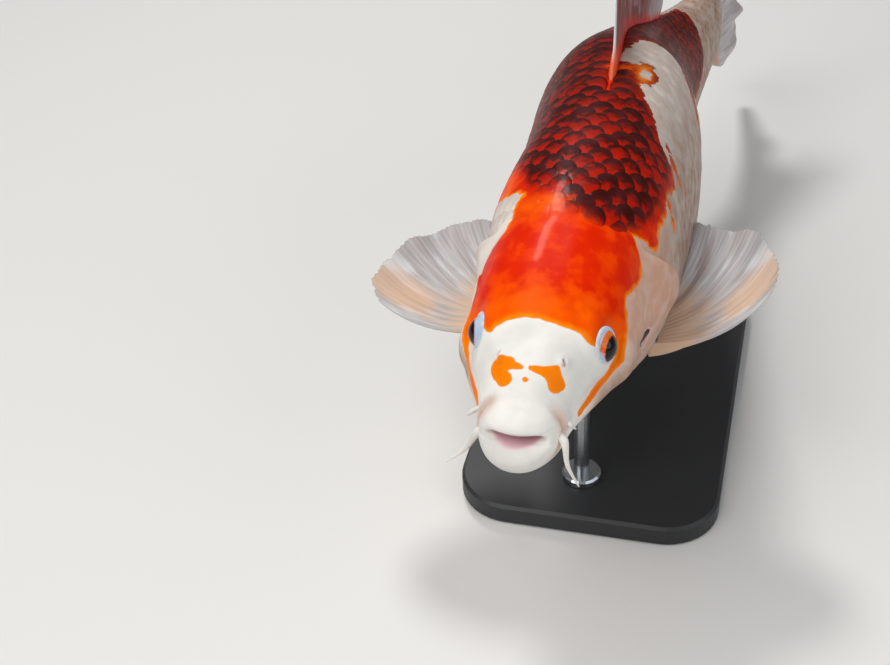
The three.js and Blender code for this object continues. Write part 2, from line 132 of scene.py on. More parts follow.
def smooth(rows, at):
    """A smooth value between the rows of a table of (place, value)."""
    table = np.asarray(rows, float)
    x, y = table[:, 0], table[:, 1]
    at = np.clip(np.asarray(at, float), x[0], x[-1])
    before = np.maximum(np.arange(len(x)) - 1, 0)
    after = np.minimum(np.arange(len(x)) + 1, len(x) - 1)
    slope = (y[after] - y[before]) / (x[after] - x[before])
    i = np.clip(np.searchsorted(x, at) - 1, 0, len(x) - 2)
    h = x[i + 1] - x[i]
    u = (at - x[i]) / h
    turned = slope[i] * (1 - u) - slope[i + 1] * u
    return y[i] + (y[i + 1] - y[i]) * u * u * (3 - 2 * u) + h * u * (1 - u) * turned


def step(low, high, value):
    """0 below low, 1 above high, and smooth between."""
    t = np.clip((value - low) / (high - low), 0, 1)
    return t * t * (3 - 2 * t)


def bump(distance, radius):
    """1 at no distance, falling smoothly to 0 at the radius."""
    return (1 - np.clip(np.abs(distance) / radius, 0, 1) ** 2) ** 2


def section(at):
    """The measures of the cross-section at a distance behind the lips."""
    rows = tuple(STATIONS.values())
    return {
        key: smooth([(row[0], row[k]) for row in rows], at)
        for k, key in enumerate(SECTION_KEYS)
        if key != "at"
    }


def signed_power(value, power):
    """A power of a value's size that keeps the value's sign."""
    return np.sign(value) * np.abs(value) ** power


def turned_to(angle):
    """An angle round the body, from -90 under the belly to 270."""
    return np.mod(angle + 90, 360) - 90


def folded_to(angle):
    """An angle on either side brought onto the left one, from -90 to 90."""
    return 90 - np.abs(90 - turned_to(angle))


def unit(vector):
    """A vector brought to length 1."""
    vector = np.array(vector, float)
    return vector / np.linalg.norm(vector)


def on_section(at, angle, form=None):
    """The point of the straight carp at a place and an angle round it."""
    form = form or section(at)
    side, rise = np.cos(np.radians(angle)), np.sin(np.radians(angle))
    above = rise > 0
    square = 2 / np.where(above, form["upper"], form["lower"])
    reach = np.where(above, form["back"] - form["level"], form["level"] - form["belly"])
    z = form["level"] + reach * signed_power(rise, square)
    fallback = smooth(SIDE_FALLBACK, at) * side * side
    lean = smooth(FRONT_LEAN, at) * (z - form["level"])
    under = EYE_LEVEL - z
    under = (under + np.sqrt(under**2 + 36)) / 2
    x = form["half"] * signed_power(side, square)
    x = x + smooth(NOSE_ASIDE, at) - smooth(JAW_ASIDE, at) * under
    return np.stack([x, at + fallback - lean, z], -1)


SPINE_START = -60
SPINE_END = 680


def spine():
    """The swimming curve at each millimetre: its line, and what lies aside of it and over it."""
    at = np.arange(SPINE_START, SPINE_END)
    turn, rise = np.radians(smooth(TURN, at)), np.radians(smooth(RISE, at))
    aside = np.stack([np.cos(turn), -np.sin(turn), 0 * turn], -1)
    along = [np.sin(turn) * np.cos(rise), np.cos(turn) * np.cos(rise), np.sin(rise)]
    along = np.stack(along, -1)
    first = np.array([[0.0, SPINE_START, 0.0]])
    middle = np.vstack([first, first + np.cumsum(along[:-1], 0)])
    return middle, aside, np.cross(aside, along)


SPINE_MIDDLE, SPINE_ASIDE, SPINE_UP = spine()
NOSE_UP = np.array(Matrix.Rotation(-PITCH, 3, "X"))


def bend(points):
    """Carries points of the straight carp onto its swimming curve."""
    along = points[..., 1] - SPINE_START
    i = np.clip(np.floor(along).astype(int), 0, len(SPINE_MIDDLE) - 2)
    part = (along - i)[..., None]

    def between(rows):
        return rows[i] * (1 - part) + rows[i + 1] * part

    aside = between(SPINE_ASIDE) * points[..., :1]
    return between(SPINE_MIDDLE) + aside + between(SPINE_UP) * points[..., 2:]


OVER_STAND = NOSE_UP @ bend(np.array(BALANCE))
LIFT = np.array([-OVER_STAND[0], -OVER_STAND[1], LIPS_HEIGHT])


def placed(points):
    """Points of the straight carp in the frame, in metres."""
    return (bend(points) @ NOSE_UP.T + LIFT) * MM


def unplaced(point):
    """A point of the frame near the head, in the straight carp's own millimetres."""
    return (np.array(point) / MM - LIFT) @ NOSE_UP


def edge_place(angle):
    """Where the gill cover or the skull ends, at an angle on either side."""
    return smooth(GILL_EDGE, folded_to(angle))


def outward(points):
    """Directions out of closed rings of points that follow each other from the lips back."""
    back = np.gradient(points, axis=0)
    across = (np.roll(points, -1, 1) - np.roll(points, 1, 1)) / 2
    normal = np.cross(back, across)
    return normal / np.maximum(np.linalg.norm(normal, axis=-1, keepdims=True), 1e-9)


# ---------------------------------------------------------------- relief of the head

EYE_AXIS = unit([0.91, -0.32, 0.26])  # of the ring round the left eye
GAZE = unit([0.965, -0.24, 0.02])  # of the left eye
# Where the ring of each eye turns pale: a direction, and how much more of it does.
EYE_PALE = {1: ((-0.35, -0.62, -0.7), 0.12), -1: ((0.8, -0.55, 0.15), 0.8)}
RIM_RADIUS = 6.55  # of the ring of soft skin round the eye
RIM_HEIGHT = 5.0  # of that ring over the middle of the eye
ORBIT_REACH = 16.0  # how far the head leans towards the ring

NOSTRIL = np.array([13.0, 22.8, 22.8])
NOSTRIL_MOUND = 5.0
NOSTRIL_SLIT = (0.42, 1.3)  # half its width and half its length

GILL_STEP = 3.2  # how far the body lies below the rear edge of a gill cover
GILL_FLARE = 4.5  # how far the rear of a gill cover stands out


def eye_centre(side):
    """The middle of an eye in the straight carp, from its solid in the frame."""
    low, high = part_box("eye_left" if side > 0 else "eye_right")
    return unplaced((low + high) / 2)


def mirrored(vector, side):
    """A place or direction on the left, for the side that is 1 on the left and -1 on the right."""
    return np.array([vector[0] * side, vector[1], vector[2]])


def seat_eyes(points):
    """Leans the head towards the ring round each eye and sinks it under the eyeball."""
    for side in (1, -1):
        centre, axis = eye_centre(side), mirrored(EYE_AXIS, side)
        away = points - centre
        height = away @ axis
        out = np.linalg.norm(away - height[..., None] * axis, axis=-1)
        near = (height > -2) & (out < ORBIT_REACH)
        lean = np.where(near, 1 - step(RIM_RADIUS + 0.8, ORBIT_REACH, out), 0)
        target = RIM_HEIGHT - 0.35 - 0.02 * np.maximum(out - RIM_RADIUS, 0) ** 2
        sunk = -6.5 * (1 - step(RIM_RADIUS - 1.2, RIM_RADIUS + 0.2, out)) * near
        change = lean * (target - height) + sunk
        points = points + change[..., None] * axis
    return points


def head_relief(place, points):
    """How far the skin stands out from the plain form of the head, in millimetres."""
    x, y, z = points[..., 0], points[..., 1], points[..., 2]
    beside = np.abs(x)
    out = np.zeros_like(place)
    upper = z > -3.6
    # The lips are soft rolls with a fold behind them, deepest at the corners.
    lip = np.where(upper, 0.3, 0.8)
    out += lip * bump(place + 0.6, 3.6)
    corner = step(6, 16, beside)
    fold_at = np.where(upper, 6.2, 5.2)
    out -= (0.1 + 0.9 * corner) * bump(place - fold_at, 2.6) * np.where(upper, 1, 0.45)
    out += 0.4 * bump(place - fold_at - 4, 4) * corner
    # A hollow runs from the corner of the mouth up to the cheek.
    line = np.hypot(y - smooth(((-10, 13), (0, 20), (9, 34), (14, 52)), z), (z - 3) * 0.12)
    out -= 0.4 * bump(line, 6) * step(8, 16, beside) * (1 - step(10, 16, z)) * step(-14, -6, z)
    # Swellings of the snout, the brows and the cheeks.
    out += 2.6 * bump(np.sqrt((beside - 32) ** 2 + (y - 57) ** 2 + (z - 7) ** 2), 14)
    out += 0.6 * bump(np.hypot(x / 1.6, (y - 14) * 0.5), 12) * (z > 3)
    out -= 0.3 * bump(x, 8) * step(50, 62, y) * (1 - step(78, 96, y)) * (z > 5)
    # The front plate of the gill cover ends in a low curved step.
    plate = y - smooth(((-30, 56), (-12, 70), (8, 78), (30, 74)), z)
    out += 0.9 * (step(-9, 0, plate) - step(0, 1.6, plate)) * step(16, 24, beside) * (z < 30)
    # Folds under the throat.
    under = (z < -8) & (y < 90)
    for place_of_fold in (6.0, 12.5):
        fold = beside - place_of_fold * step(14, 60, y) - 1.5
        out -= 0.8 * bump(fold, 1.8) * under * step(16, 30, y) * (1 - step(66, 84, y))
    return out


def nostril_relief(points):
    """A mound with a slit in it at each nostril, and how strongly the slit is painted with shade."""
    out = np.zeros(points.shape[:-1])
    dark = np.zeros_like(out)
    for side in (1, -1):
        away = points - mirrored(NOSTRIL, side)
        near = np.linalg.norm(away, axis=-1)
        aside = away @ mirrored([0.73, 0.67, -0.09], side)
        along = away @ mirrored([-0.4, 0.53, 0.75], side)
        slit = np.hypot(aside / NOSTRIL_SLIT[0], along / NOSTRIL_SLIT[1])
        flap = np.hypot(aside + 1.7, along)
        out += 1.0 * bump(near, NOSTRIL_MOUND) + 0.9 * bump(flap, 2.2)
        inside = (near < 5) * bump(slit, 1.5)
        out -= 3.4 * inside
        # Painted shade in the slit, on top of its sunken shape.
        dark = np.maximum(dark, (near < 5) * bump(slit, 1.9))
    return out, dark


def gill_relief(ring, angle):
    """The free rear edge of the gill covers: offsets out and forwards, and the painted shade in the
    crevice behind it.
    """
    folded = folded_to(angle)
    open_at = step(-92, -78, folded) * (1 - step(24, 40, folded))
    flare_at = bump(folded - 8, 27)
    slit_at = bump(folded + 20, 11)
    behind = ring - EDGE_RING
    cover = step(-34, 0, behind) * (behind <= 0.05)
    depth = GILL_STEP * open_at + 2.6 * slit_at
    recover = 1 - step(2, 17 + 3 * slit_at, behind)
    out = GILL_FLARE * flare_at * cover + 0.35 * open_at * bump(behind + 2.5, 3)
    out -= depth * step(0, 0.9, behind) * recover
    forwards = 3.2 * open_at * step(0.05, 0.9, behind) * (1 - step(1.2, 3.2, behind))
    # Painted shade in the crevice just behind the edge.
    dark = open_at * step(0.2, 0.8, behind) * (1 - step(1.8, 4.5 + 4 * slit_at, behind))
    return out, forwards, dark


# The slot low on each gill cover, a shallow dent filled with painted shade: place, angle and half its
# width.
GILL_OPENING = ((76, 1, 2.4), (82, -2, 3.8), (89, -6, 3.8), (94, -8, 2.2))
GILL_OPENING_DEPTH = 0.8


def gill_opening(points):
    """How far inside such a slot a point lies, from 0 to 1."""
    found = np.zeros(points.shape[:-1])
    for side in (1, -1):
        inside = to_chain(points * (side, 1, 1), GILL_OPENING)
        found = np.maximum(found, step(-0.5, 1.2, inside))
    return found


NAPE_FROM = (40, 60)  # angles from which the head passes into the nape without a step


def scaled(place, angle):
    """1 where scales grow on the body, 0 on the bare head; the nape passes slowly into them."""
    nape = step(*NAPE_FROM, folded_to(angle))
    return step(1 - 9 * nape, 6 + 12 * nape, place - edge_place(angle))


# ---------------------------------------------------------------- markings

# The red of the head and back: the angle on each side down to which it reaches.
RED_LEFT = (
    (33, 60), (36, 44), (38, 36), (42, 26), (46, 19), (54, 20.5), (58, 26), (62, 32.5), (66, 35.5),
    (70, 33.5), (75, 31), (81, 28.5), (87, 29), (91, 33), (94, 41), (96.5, 46), (99, 42),
    (102, 34), (105, 28), (108, 25.5), (112, 28), (118, 31), (126, 31.5), (133, 35), (142, 33),
    (151, 31), (157, 38), (160, 50), (167, 56), (176, 62), (183, 69), (194, 74), (206, 76),
    (212, 80), (217, 92), (227, 88), (245, 82), (256, 76), (262, 60), (266, 40), (280, 22),
    (300, 12), (340, 5), (380, 2), (395, 12), (402, 40), (408, 78),
)
RED_RIGHT = (
    (33, 50), (40, 40), (46, 25), (52, 15), (60, 18), (70, 26), (80, 28), (84, 34), (87, 47),
    (91, 51), (101, 55), (105, 59.5), (109, 55), (113, 47), (118, 37), (124, 29), (132, 21),
    (140, 14), (165, 9), (200, 11), (235, 17), (262, 25), (285, 15), (310, 9), (340, 20),
    (360, 45), (372, 66), (384, 88),
)
RED_FRONT = (
    (0, 60), (18, 49), (22, 45), (29, 42), (39, 37.6), (46, 36.2), (60, 36.8), (72, 36), (86, 37),
    (96, 38), (108, 37), (124, 35.8), (130, 35), (140, 39), (156, 47), (180, 60),
)
RED_BACK = 407.0
PATCH_EDGE = 3.2  # width of the brighter edge of a red patch
# Strokes of red, as chains of (place, angle, half width).
STROKES = {
    "moustache right": ((19.5, 126, 3.5), (14.2, 113, 3.3)),
    "moustache right top": ((20.6, 117, 2.9), (19.9, 108, 2.7)),
    "moustache right tail": ((20.0, 110, 2.4), (19.2, 103, 1.6), (18.4, 95, 0.9)),
    "moustache left": ((18.6, 67, 2.8), (15.2, 56, 3.3)),
    "moustache left edge": ((20.4, 63, 1.9), (16.4, 50, 2.2)),
    "moustache left tail": ((18.4, 72, 2.5), (18.4, 79, 1.7), (18.6, 88, 1.0)),
    "dot": ((13.8, 90, 1.1), (13.9, 90.5, 1.1)),
    "cheek stripe left": (
        (62, 39, 2.4), (58, 29, 2.9), (54, 20, 2.9), (49, 12, 2.5), (40, 9, 2.2), (34, 7.5, 2.2),
        (29, 5, 2.4), (23, 1.5, 1.7),
    ),
    "cheek stripe right": (
        (60, 160, 3), (52, 168, 2.4), (46, 173, 1.6), (37, 174.5, 1.5), (30, 176, 2.4),
        (24, 177, 2.6), (19, 178, 1.4),
    ),
    "shoulder tongue": ((266, 44, 9), (252, 36, 7), (242, 25, 3.5)),
    "flank streak": ((165, 46, 1.5), (163, 40, 2.1), (162, 33, 2.1), (163, 27, 1.4)),
    "flank streak front": ((138, 36, 1.2), (135, 31, 2.0), (133, 24, 1.7)),
    "flank dot": ((133.5, 19.5, 1.3), (134.5, 20, 1.3)),
    "flank trace": ((173, 24, 0.8), (169, 18, 1.5), (166, 14, 0.8)),
}
RING = (206, 73, 4.9, 1.8)  # a ringed scale: place, angle, radius and half width
MM_PER_DEGREE = 0.78


def band(place, angle, left, right):
    """The distance into the patch over the back, from its two sides."""
    turned = turned_to(angle)
    to_left = (turned - smooth(left, place)) * MM_PER_DEGREE
    to_right = (180 - turned - smooth(right, place)) * MM_PER_DEGREE
    return np.minimum(to_left, to_right)


def to_chain(points, chain):
    """The distance into a stroke that runs through a chain of places on the body."""
    best = np.full(points.shape[:-1], -1e3)
    for start, end in zip(chain[:-1], chain[1:]):
        a, b = (on_section(np.array(float(at)), angle) for at, angle, _ in (start, end))
        way = b - a
        t = np.clip(((points - a) @ way) / (way @ way), 0, 1)
        nearest = a + t[..., None] * way
        width = start[2] + (end[2] - start[2]) * t
        best = np.maximum(best, width - np.linalg.norm(points - nearest, axis=-1))
    return best


def red_edge(place, angle, points):
    """The distance into the red markings, in millimetres, below 0 outside them."""
    turned = turned_to(angle)
    front = place - smooth(RED_FRONT, np.clip(turned, 0, 180))
    found = np.minimum(front, band(place, angle, RED_LEFT, RED_RIGHT))
    found = np.minimum(found, RED_BACK - place)
    for chain in STROKES.values():
        found = np.maximum(found, to_chain(points, chain))
    at, round_, radius, half = RING
    from_ring = (points - on_section(np.array(float(at)), round_)) * (1, 0.5, 1)
    from_ring = np.linalg.norm(from_ring, axis=-1)
    return np.maximum(found, half - np.abs(from_ring - radius))


# Where the dark scale margins begin, by the angle round the body.
DUSK_FRONT = (
    (0, 150), (30, 122), (40, 108), (48, 93), (59, 86), (66, 82), (76, 84), (89, 88), (97, 98),
    (114, 103), (125, 120), (140, 136), (160, 152), (180, 166),
)


def dusk(place, angle):
    """How strongly the dark rear margins show on the red scales."""
    turned = np.clip(turned_to(angle), 0, 180)
    begins = smooth(DUSK_FRONT, turned)
    beside = 0.35 + 0.65 * step(30, 50, turned) * (1 - 0.5 * step(125, 160, turned))
    ring = bump(np.hypot((place - RING[0]) * 0.5, turned - RING[1]), 9)
    beside = np.maximum(beside, 0.9 * step(225, 262, place))
    return step(-4, 12, place - begins) * beside * (1 - ring)


def warmth(place, angle):
    """How orange the red is: along the front of the cap, at the nape and by the dorsal fin."""
    turned = np.clip(turned_to(angle), 0, 180)
    front = 1 - step(3, 22, place - smooth(RED_FRONT, turned))
    nape = bump(place - 95, 13) * step(80, 98, turned) * (1 - step(128, 142, turned))
    shoulder = bump(place - 118, 26) * step(126, 140, turned)
    dorsal = bump(np.hypot(place - 208, (turned - 84) * 0.9), 15)
    return np.clip(front + 0.85 * nape + 0.8 * shoulder + 0.9 * dorsal, 0, 1)


def beige_and_shade(place, angle, points):
    """How beige the white skin is over the cheeks, gill covers and flanks: partly the skin's own beige,
    partly painted shade low down and in the folds at the mouth's corners.
    """
    z = points[..., 2]
    turned = turned_to(angle)
    cheek = step(36, 62, place) * (1 - step(112, 150, place)) * (1 - 0.7 * step(44, 60, turned))
    # Painted shade: beiger low on the head and the front of the flanks.
    lower = 0.75 * (1 - step(-8, 15, z)) * step(16, 40, place) * (1 - step(120, 170, place))
    # Painted shade in the folds at the mouth's corners.
    corners = 0.7 * bump(place - 6, 5) * step(8, 15, np.abs(points[..., 0]))
    return np.clip(np.maximum(0.9 * cheek, lower) + corners, 0, 1)


def drab_and_shade(place, points):
    """How much the white is browned, partly the skin's own grey-brown and partly painted shade: half way
    down the flanks and low on the cheeks.
    """
    z = points[..., 2]
    # Partly the flanks' own grey-brown, partly painted shade: less of it higher up and none under the
    # belly.
    flank = step(95, 150, place) * (1 - step(30, 76, z) * 0.38) * step(-50, -10, z)
    # Painted shade low on the cheeks.
    cheek = step(24, 46, place) * (1 - step(74, 108, place)) * (1 - step(0, 16, z))
    return np.maximum(flank, 0.85 * cheek)


def finish_values(place, angle, points, dark=None):
    """The named values that the skin's and the scales' finish reads at each point."""
    return {
        "straight": points,
        "red_edge": red_edge(place, angle, points),
        "dusk": dusk(place, angle),
        "warmth": warmth(place, angle),
        "beige_and_shade": beige_and_shade(place, angle, points),
        "drab_and_shade": drab_and_shade(place, points),
        # Flesh inside the mouth, and painted shade in its depths, the nostril slits and the gill
        # crevices and openings.
        "flesh_and_painted_shade": np.zeros_like(place) if dark is None else dark,
    }


# ---------------------------------------------------------------- meshes

def quads_of(rows, columns, closed=False, joined=False):
    """The faces of a grid of points, whose columns may close round and whose rows may join."""
    deep = rows if joined else rows - 1
    wide = columns if closed else columns - 1
    r, c = np.meshgrid(np.arange(deep), np.arange(wide), indexing="ij")
    below, beyond = (r + 1) % rows, (c + 1) % columns
    corners = [r * columns + c, r * columns + beyond, below * columns + beyond, below * columns + c]
    return np.stack(corners, -1).reshape(-1, 4)


def patch_corners(rows, columns, left, width, low, height):
    """Where the corners of a grid's faces lie on the bake map; its columns close round."""
    row, column = np.meshgrid(np.arange(rows - 1), np.arange(columns), indexing="ij")
    corners = []
    for down, across in ((0, 0), (0, 1), (1, 1), (1, 0)):
        u = (column + across) / columns * width + left
        v = (row + down) / rows * height + low
        corners.append(np.stack([u, v], -1))
    return np.stack(corners, -2).reshape(-1, 4, 2)


# A corner of the bake map for the fans that close the ends.
END_PATCH = np.array([[0.99, 0.002], [0.998, 0.002], [0.994, 0.008], [0.994, 0.008]])


class Shape:
    """Points, faces and values gathered for one mesh."""

    def __init__(self):
        self.points, self.faces, self.values, self.maps = [], [], {}, []
        self.count = 0

    def add(self, points, faces, values=None, flip=False, corners=None):
        """Adds points in metres and four-cornered faces; a face may repeat its last corner."""
        points = points.reshape(-1, 3)
        faces = faces[:, ::-1] if flip else faces
        self.points.append(points)
        self.faces.append(faces + self.count)
        for key, value in (values or {}).items():
            wide = 3 if key == "straight" else 1
            self.values.setdefault(key, []).append(value.reshape(-1, wide))
        if corners is not None:
            self.maps.append(corners[:, ::-1] if flip else corners)
        self.count += len(points)

    def close_ends(self, rows, columns, flip=False):
        """Closes the first and last rings of the grid just added, each with a fan."""
        points, first = self.points[-1], self.count - len(self.points[-1])
        fields = {key: parts[-1] for key, parts in self.values.items()}
        for row in (0, rows - 1):
            ring = row * columns + np.arange(columns)
            following = np.roll(ring, -1)
            middle = np.full(columns, self.count - first)
            order = [following, ring] if (row == 0) != flip else [ring, following]
            self.faces.append(np.stack([*order, middle, middle], -1) + first)
            self.points.append(points[ring].mean(0, keepdims=True))
            for key, field in fields.items():
                self.values[key].append(field[ring].mean(0, keepdims=True))
            if self.maps:
                self.maps.append(np.tile(END_PATCH, (columns, 1, 1)))
            self.count += 1

    def build(self, name, material):
        """Makes the object, smooth all over, with its values as point attributes."""
        points, faces = np.vstack(self.points), np.vstack(self.faces)
        mesh = bpy.data.meshes.new(name)
        threes = faces[:, 3] == faces[:, 2]
        sizes = np.where(threes, 3, 4)
        keep = np.ones(faces.shape, bool)
        keep[threes, 3] = False
        mesh.vertices.add(len(points))
        mesh.vertices.foreach_set("co", points.astype(np.float32).ravel())
        mesh.loops.add(int(sizes.sum()))
        mesh.loops.foreach_set("vertex_index", faces[keep].astype(np.int32))
        mesh.polygons.add(len(faces))
        starts = np.concatenate([[0], np.cumsum(sizes)[:-1]])
        mesh.polygons.foreach_set("loop_start", starts.astype(np.int32))
        mesh.update(calc_edges=True)
        mesh.validate()
        mesh.shade_smooth()
        for key, parts in self.values.items():
            data = np.vstack(parts).astype(np.float32)
            kind = "FLOAT_VECTOR" if data.shape[1] == 3 else "FLOAT"
            field = mesh.attributes.new(key, kind, "POINT")
            field.data.foreach_set("vector" if data.shape[1] == 3 else "value", data.ravel())
        if self.maps:
            corners = np.vstack(self.maps)[keep]
            layer = mesh.uv_layers.new(name="OFBake")
            layer.uv.foreach_set("vector", corners.astype(np.float32).ravel())
        mesh.materials.append(material)
        thing = bpy.data.objects.new(name, mesh)
        bpy.context.scene.collection.objects.link(thing)
        return thing


def finish_piece(shape, name, material, slot, *nodes):
    """Builds a piece, joins it to the body and lets it stand for its solids."""
    made = shape.build(name, material)
    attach(made, BODY)
    if nodes:
        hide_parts(*nodes)


# ---------------------------------------------------------------- materials

def tone(red, green, blue):
    """A colour given as on a paint chart, from 0 to 255, in linear light."""
    parts = [c / 255 for c in (red, green, blue)]
    return tuple(c / 12.92 if c <= 0.04045 else ((c + 0.055) / 1.055) ** 2.4 for c in parts)


class Finish:
    """A material and short ways to add nodes to it."""

    def __init__(self, name, roughness, specular=0.5, coat=0.0, coat_roughness=0.1, under=0.0):
        self.material = bpy.data.materials.new(name)
        self.material.use_nodes = True
        self.tree = self.material.node_tree
        self.shader = self.tree.nodes["Principled BSDF"]
        inputs = self.shader.inputs
        inputs["Roughness"].default_value = roughness
        inputs["Specular IOR Level"].default_value = specular
        inputs["IOR"].default_value = 1.33 if specular < 0.1 else 1.5
        inputs["Coat Weight"].default_value = coat
        inputs["Coat Roughness"].default_value = coat_roughness
        inputs["Subsurface Weight"].default_value = under
        inputs["Subsurface Radius"].default_value = (1.0, 0.45, 0.3)
        inputs["Subsurface Scale"].default_value = 0.004

    def node(self, kind, **settings):
        """Adds a node."""
        made = self.tree.nodes.new(kind)
        for key, value in settings.items():
            setattr(made, key, value)
        return made

    def feed(self, socket, value):
        """Gives a socket a link, a colour or a plain value."""
        if isinstance(value, bpy.types.NodeSocket):
            self.tree.links.new(value, socket)
        elif hasattr(value, "__len__") and len(value) == 3 and socket.type == "RGBA":
            socket.default_value = (*value, 1)
        else:
            socket.default_value = value

    def attribute(self, name, output="Fac"):
        """One of the mesh's named values."""
        return self.node("ShaderNodeAttribute", attribute_name=name).outputs[output]

    def math(self, operation, a, b=0.0, clamp=False):
        """A sum on two values."""
        made = self.node("ShaderNodeMath", operation=operation, use_clamp=clamp)
        self.feed(made.inputs[0], a)
        self.feed(made.inputs[1], b)
        return made.outputs[0]

    def times(self, a, b):
        return self.math("MULTIPLY", a, b)

    def plus(self, a, b):
        return self.math("ADD", a, b)

    def ramp(self, value, low, high, start=0.0, end=1.0):
        """A smooth passage from start to end as a value goes from low to high."""
        made = self.node("ShaderNodeMapRange", interpolation_type="SMOOTHSTEP")
        self.feed(made.inputs["Value"], value)
        for key, number in (("From Min", low), ("From Max", high), ("To Min", start), ("To Max", end)):
            made.inputs[key].default_value = number
        return made.outputs["Result"]

    def noise(self, scale, detail=3.0, vector=None, stretch=None):
        """A cloudy value round 0.5, over the straight carp unless a vector is given."""
        vector = vector or self.attribute("straight", "Vector")
        if stretch:
            mapping = self.node("ShaderNodeMapping")
            self.feed(mapping.inputs["Vector"], vector)
            mapping.inputs["Scale"].default_value = stretch
            vector = mapping.outputs["Vector"]
        made = self.node("ShaderNodeTexNoise")
        self.feed(made.inputs["Vector"], vector)
        made.inputs["Scale"].default_value = scale
        made.inputs["Detail"].default_value = detail
        return made.outputs["Fac"]

    def mix(self, share, a, b):
        """The colour that lies a share of the way from a to b."""
        made = self.node("ShaderNodeMix", data_type="RGBA")
        self.feed(made.inputs["Factor"], share)
        self.feed(made.inputs[6], a)
        self.feed(made.inputs[7], b)
        return made.outputs[2]

    def bump(self, height, strength, distance):
        """Fine relief in the light only."""
        made = self.node("ShaderNodeBump")
        self.feed(made.inputs["Height"], height)
        made.inputs["Strength"].default_value = strength
        made.inputs["Distance"].default_value = distance
        self.feed(self.shader.inputs["Normal"], made.outputs["Normal"])

    def colour(self, value):
        self.feed(self.shader.inputs["Base Color"], value)


def koi_finish(name, colours, on_scales):
    """The finish of skin and scales alike: white, with red patches and dark scale margins."""
    f = Finish(name, roughness=0.36, specular=0.06, coat=0.03, coat_roughness=0.07, under=0.04)
    cloud = f.noise(0.05, 4)
    patchy = f.noise(0.12, 5)
    fine = f.noise(0.35, 3)
    place = f.node("ShaderNodeSeparateXYZ")
    f.feed(place.inputs[0], f.attribute("straight", "Vector"))
    place = place.outputs[1]

    white = f.mix(f.ramp(cloud, 0.35, 0.7), colours.white, colours.pearl)
    # Partly painted shade: beige on the cheeks and gill covers, low on the head and in the mouth's
    # corner folds.
    warmed = f.times(f.attribute("beige_and_shade"), f.ramp(patchy, 0.3, 0.65, 0.7, 1.0))
    white = f.mix(warmed, white, colours.beige)
    # Partly painted shade: browner half way down the flanks and low on the cheeks.
    greyed = f.times(f.attribute("drab_and_shade"), f.ramp(patchy, 0.3, 0.65, 0.65, 1.0))
    white = f.mix(greyed, white, colours.drab_and_shade)

    inside = f.attribute("red_edge")
    wander = f.ramp(f.noise(0.22, 4), 0.2, 0.8, -1.0, 1.0)
    ragged = f.plus(inside, f.times(wander, f.ramp(place, 30, 120, 0.4, 1.7)))
    warm = f.math("ADD", f.attribute("warmth"), f.ramp(patchy, 0.3, 0.7, -0.3, 0.3), clamp=True)
    middle = f.mix(f.ramp(patchy, 0.3, 0.75, 0, 0.8), colours.red, colours.red_clouds)
    red = f.mix(warm, middle, colours.orange)
    red = f.mix(f.ramp(ragged, 0.2, PATCH_EDGE), colours.orange_edge, red)
    red = f.mix(f.ramp(place, 30, 25, 0, 0.8), red, colours.orange_edge)
    if on_scales:
        rim, dusk = f.attribute("rim"), f.attribute("dusk")
        deeper = f.times(dusk, f.ramp(warm, 0.2, 0.9, 0.9, 0.15))
        under = f.mix(f.ramp(place, 120, 210), colours.deep_red, colours.brown_red)
        red = f.mix(deeper, red, under)
        shade = f.attribute("shade")
        glow = f.times(f.ramp(rim, 0.35, 0.0), f.ramp(fine, 0.3, 0.7, 0.1, 0.6))
        glow = f.times(glow, f.ramp(shade, 1.5, -1.5))
        red = f.mix(glow, red, colours.red)
        margin = f.plus(rim, f.ramp(fine, 0.2, 0.8, -0.2, 0.2))
        margin = f.plus(margin, f.ramp(shade, -2.0, 2.0, -0.22, 0.22))
        dark = f.times(f.ramp(margin, 0.18, 0.74), dusk)
        dark = f.times(dark, f.ramp(ragged, 0.5, 8.0, 0.3, 1.0))
        purple = f.mix(f.ramp(patchy, 0.35, 0.7), colours.dusk, colours.dusk_purple)
        red = f.mix(f.times(dark, 0.95), red, purple)
        white = f.mix(f.ramp(rim, 0.3, 0.95, 0.0, 0.5), white, colours.scale_edge)
    skin = f.mix(f.ramp(ragged, -0.3, 0.3), white, red)
    # Flesh inside the mouth, then painted shade in its depths, the nostril slits, the crevices behind
    # the gill covers and the gill openings.
    flesh_and_painted_shade = f.attribute("flesh_and_painted_shade")
    skin = f.mix(f.ramp(flesh_and_painted_shade, 0.0, 0.45, 0, 0.75), skin, colours.flesh)
    skin = f.mix(f.ramp(flesh_and_painted_shade, 0.55, 1.0), skin, colours.shadow)
    f.colour(skin)
    f.feed(f.shader.inputs["Roughness"], f.ramp(fine, 0.2, 0.8, 0.3, 0.44))
    f.bump(f.noise(1.1, 4), 0.12, 0.0006)
    return f.material


# ---------------------------------------------------------------- what a user may change

def length_property(name, default, about):
    """A length that a user may change, in metres."""
    return FloatProperty(name=name, description=about, default=default, unit="LENGTH", min=0)


def colour_property(name, default, about):
    """A colour that a user may change, in linear light."""
    return FloatVectorProperty(
        name=name, description=about, default=default, subtype="COLOR", size=3, min=0, max=1
    )


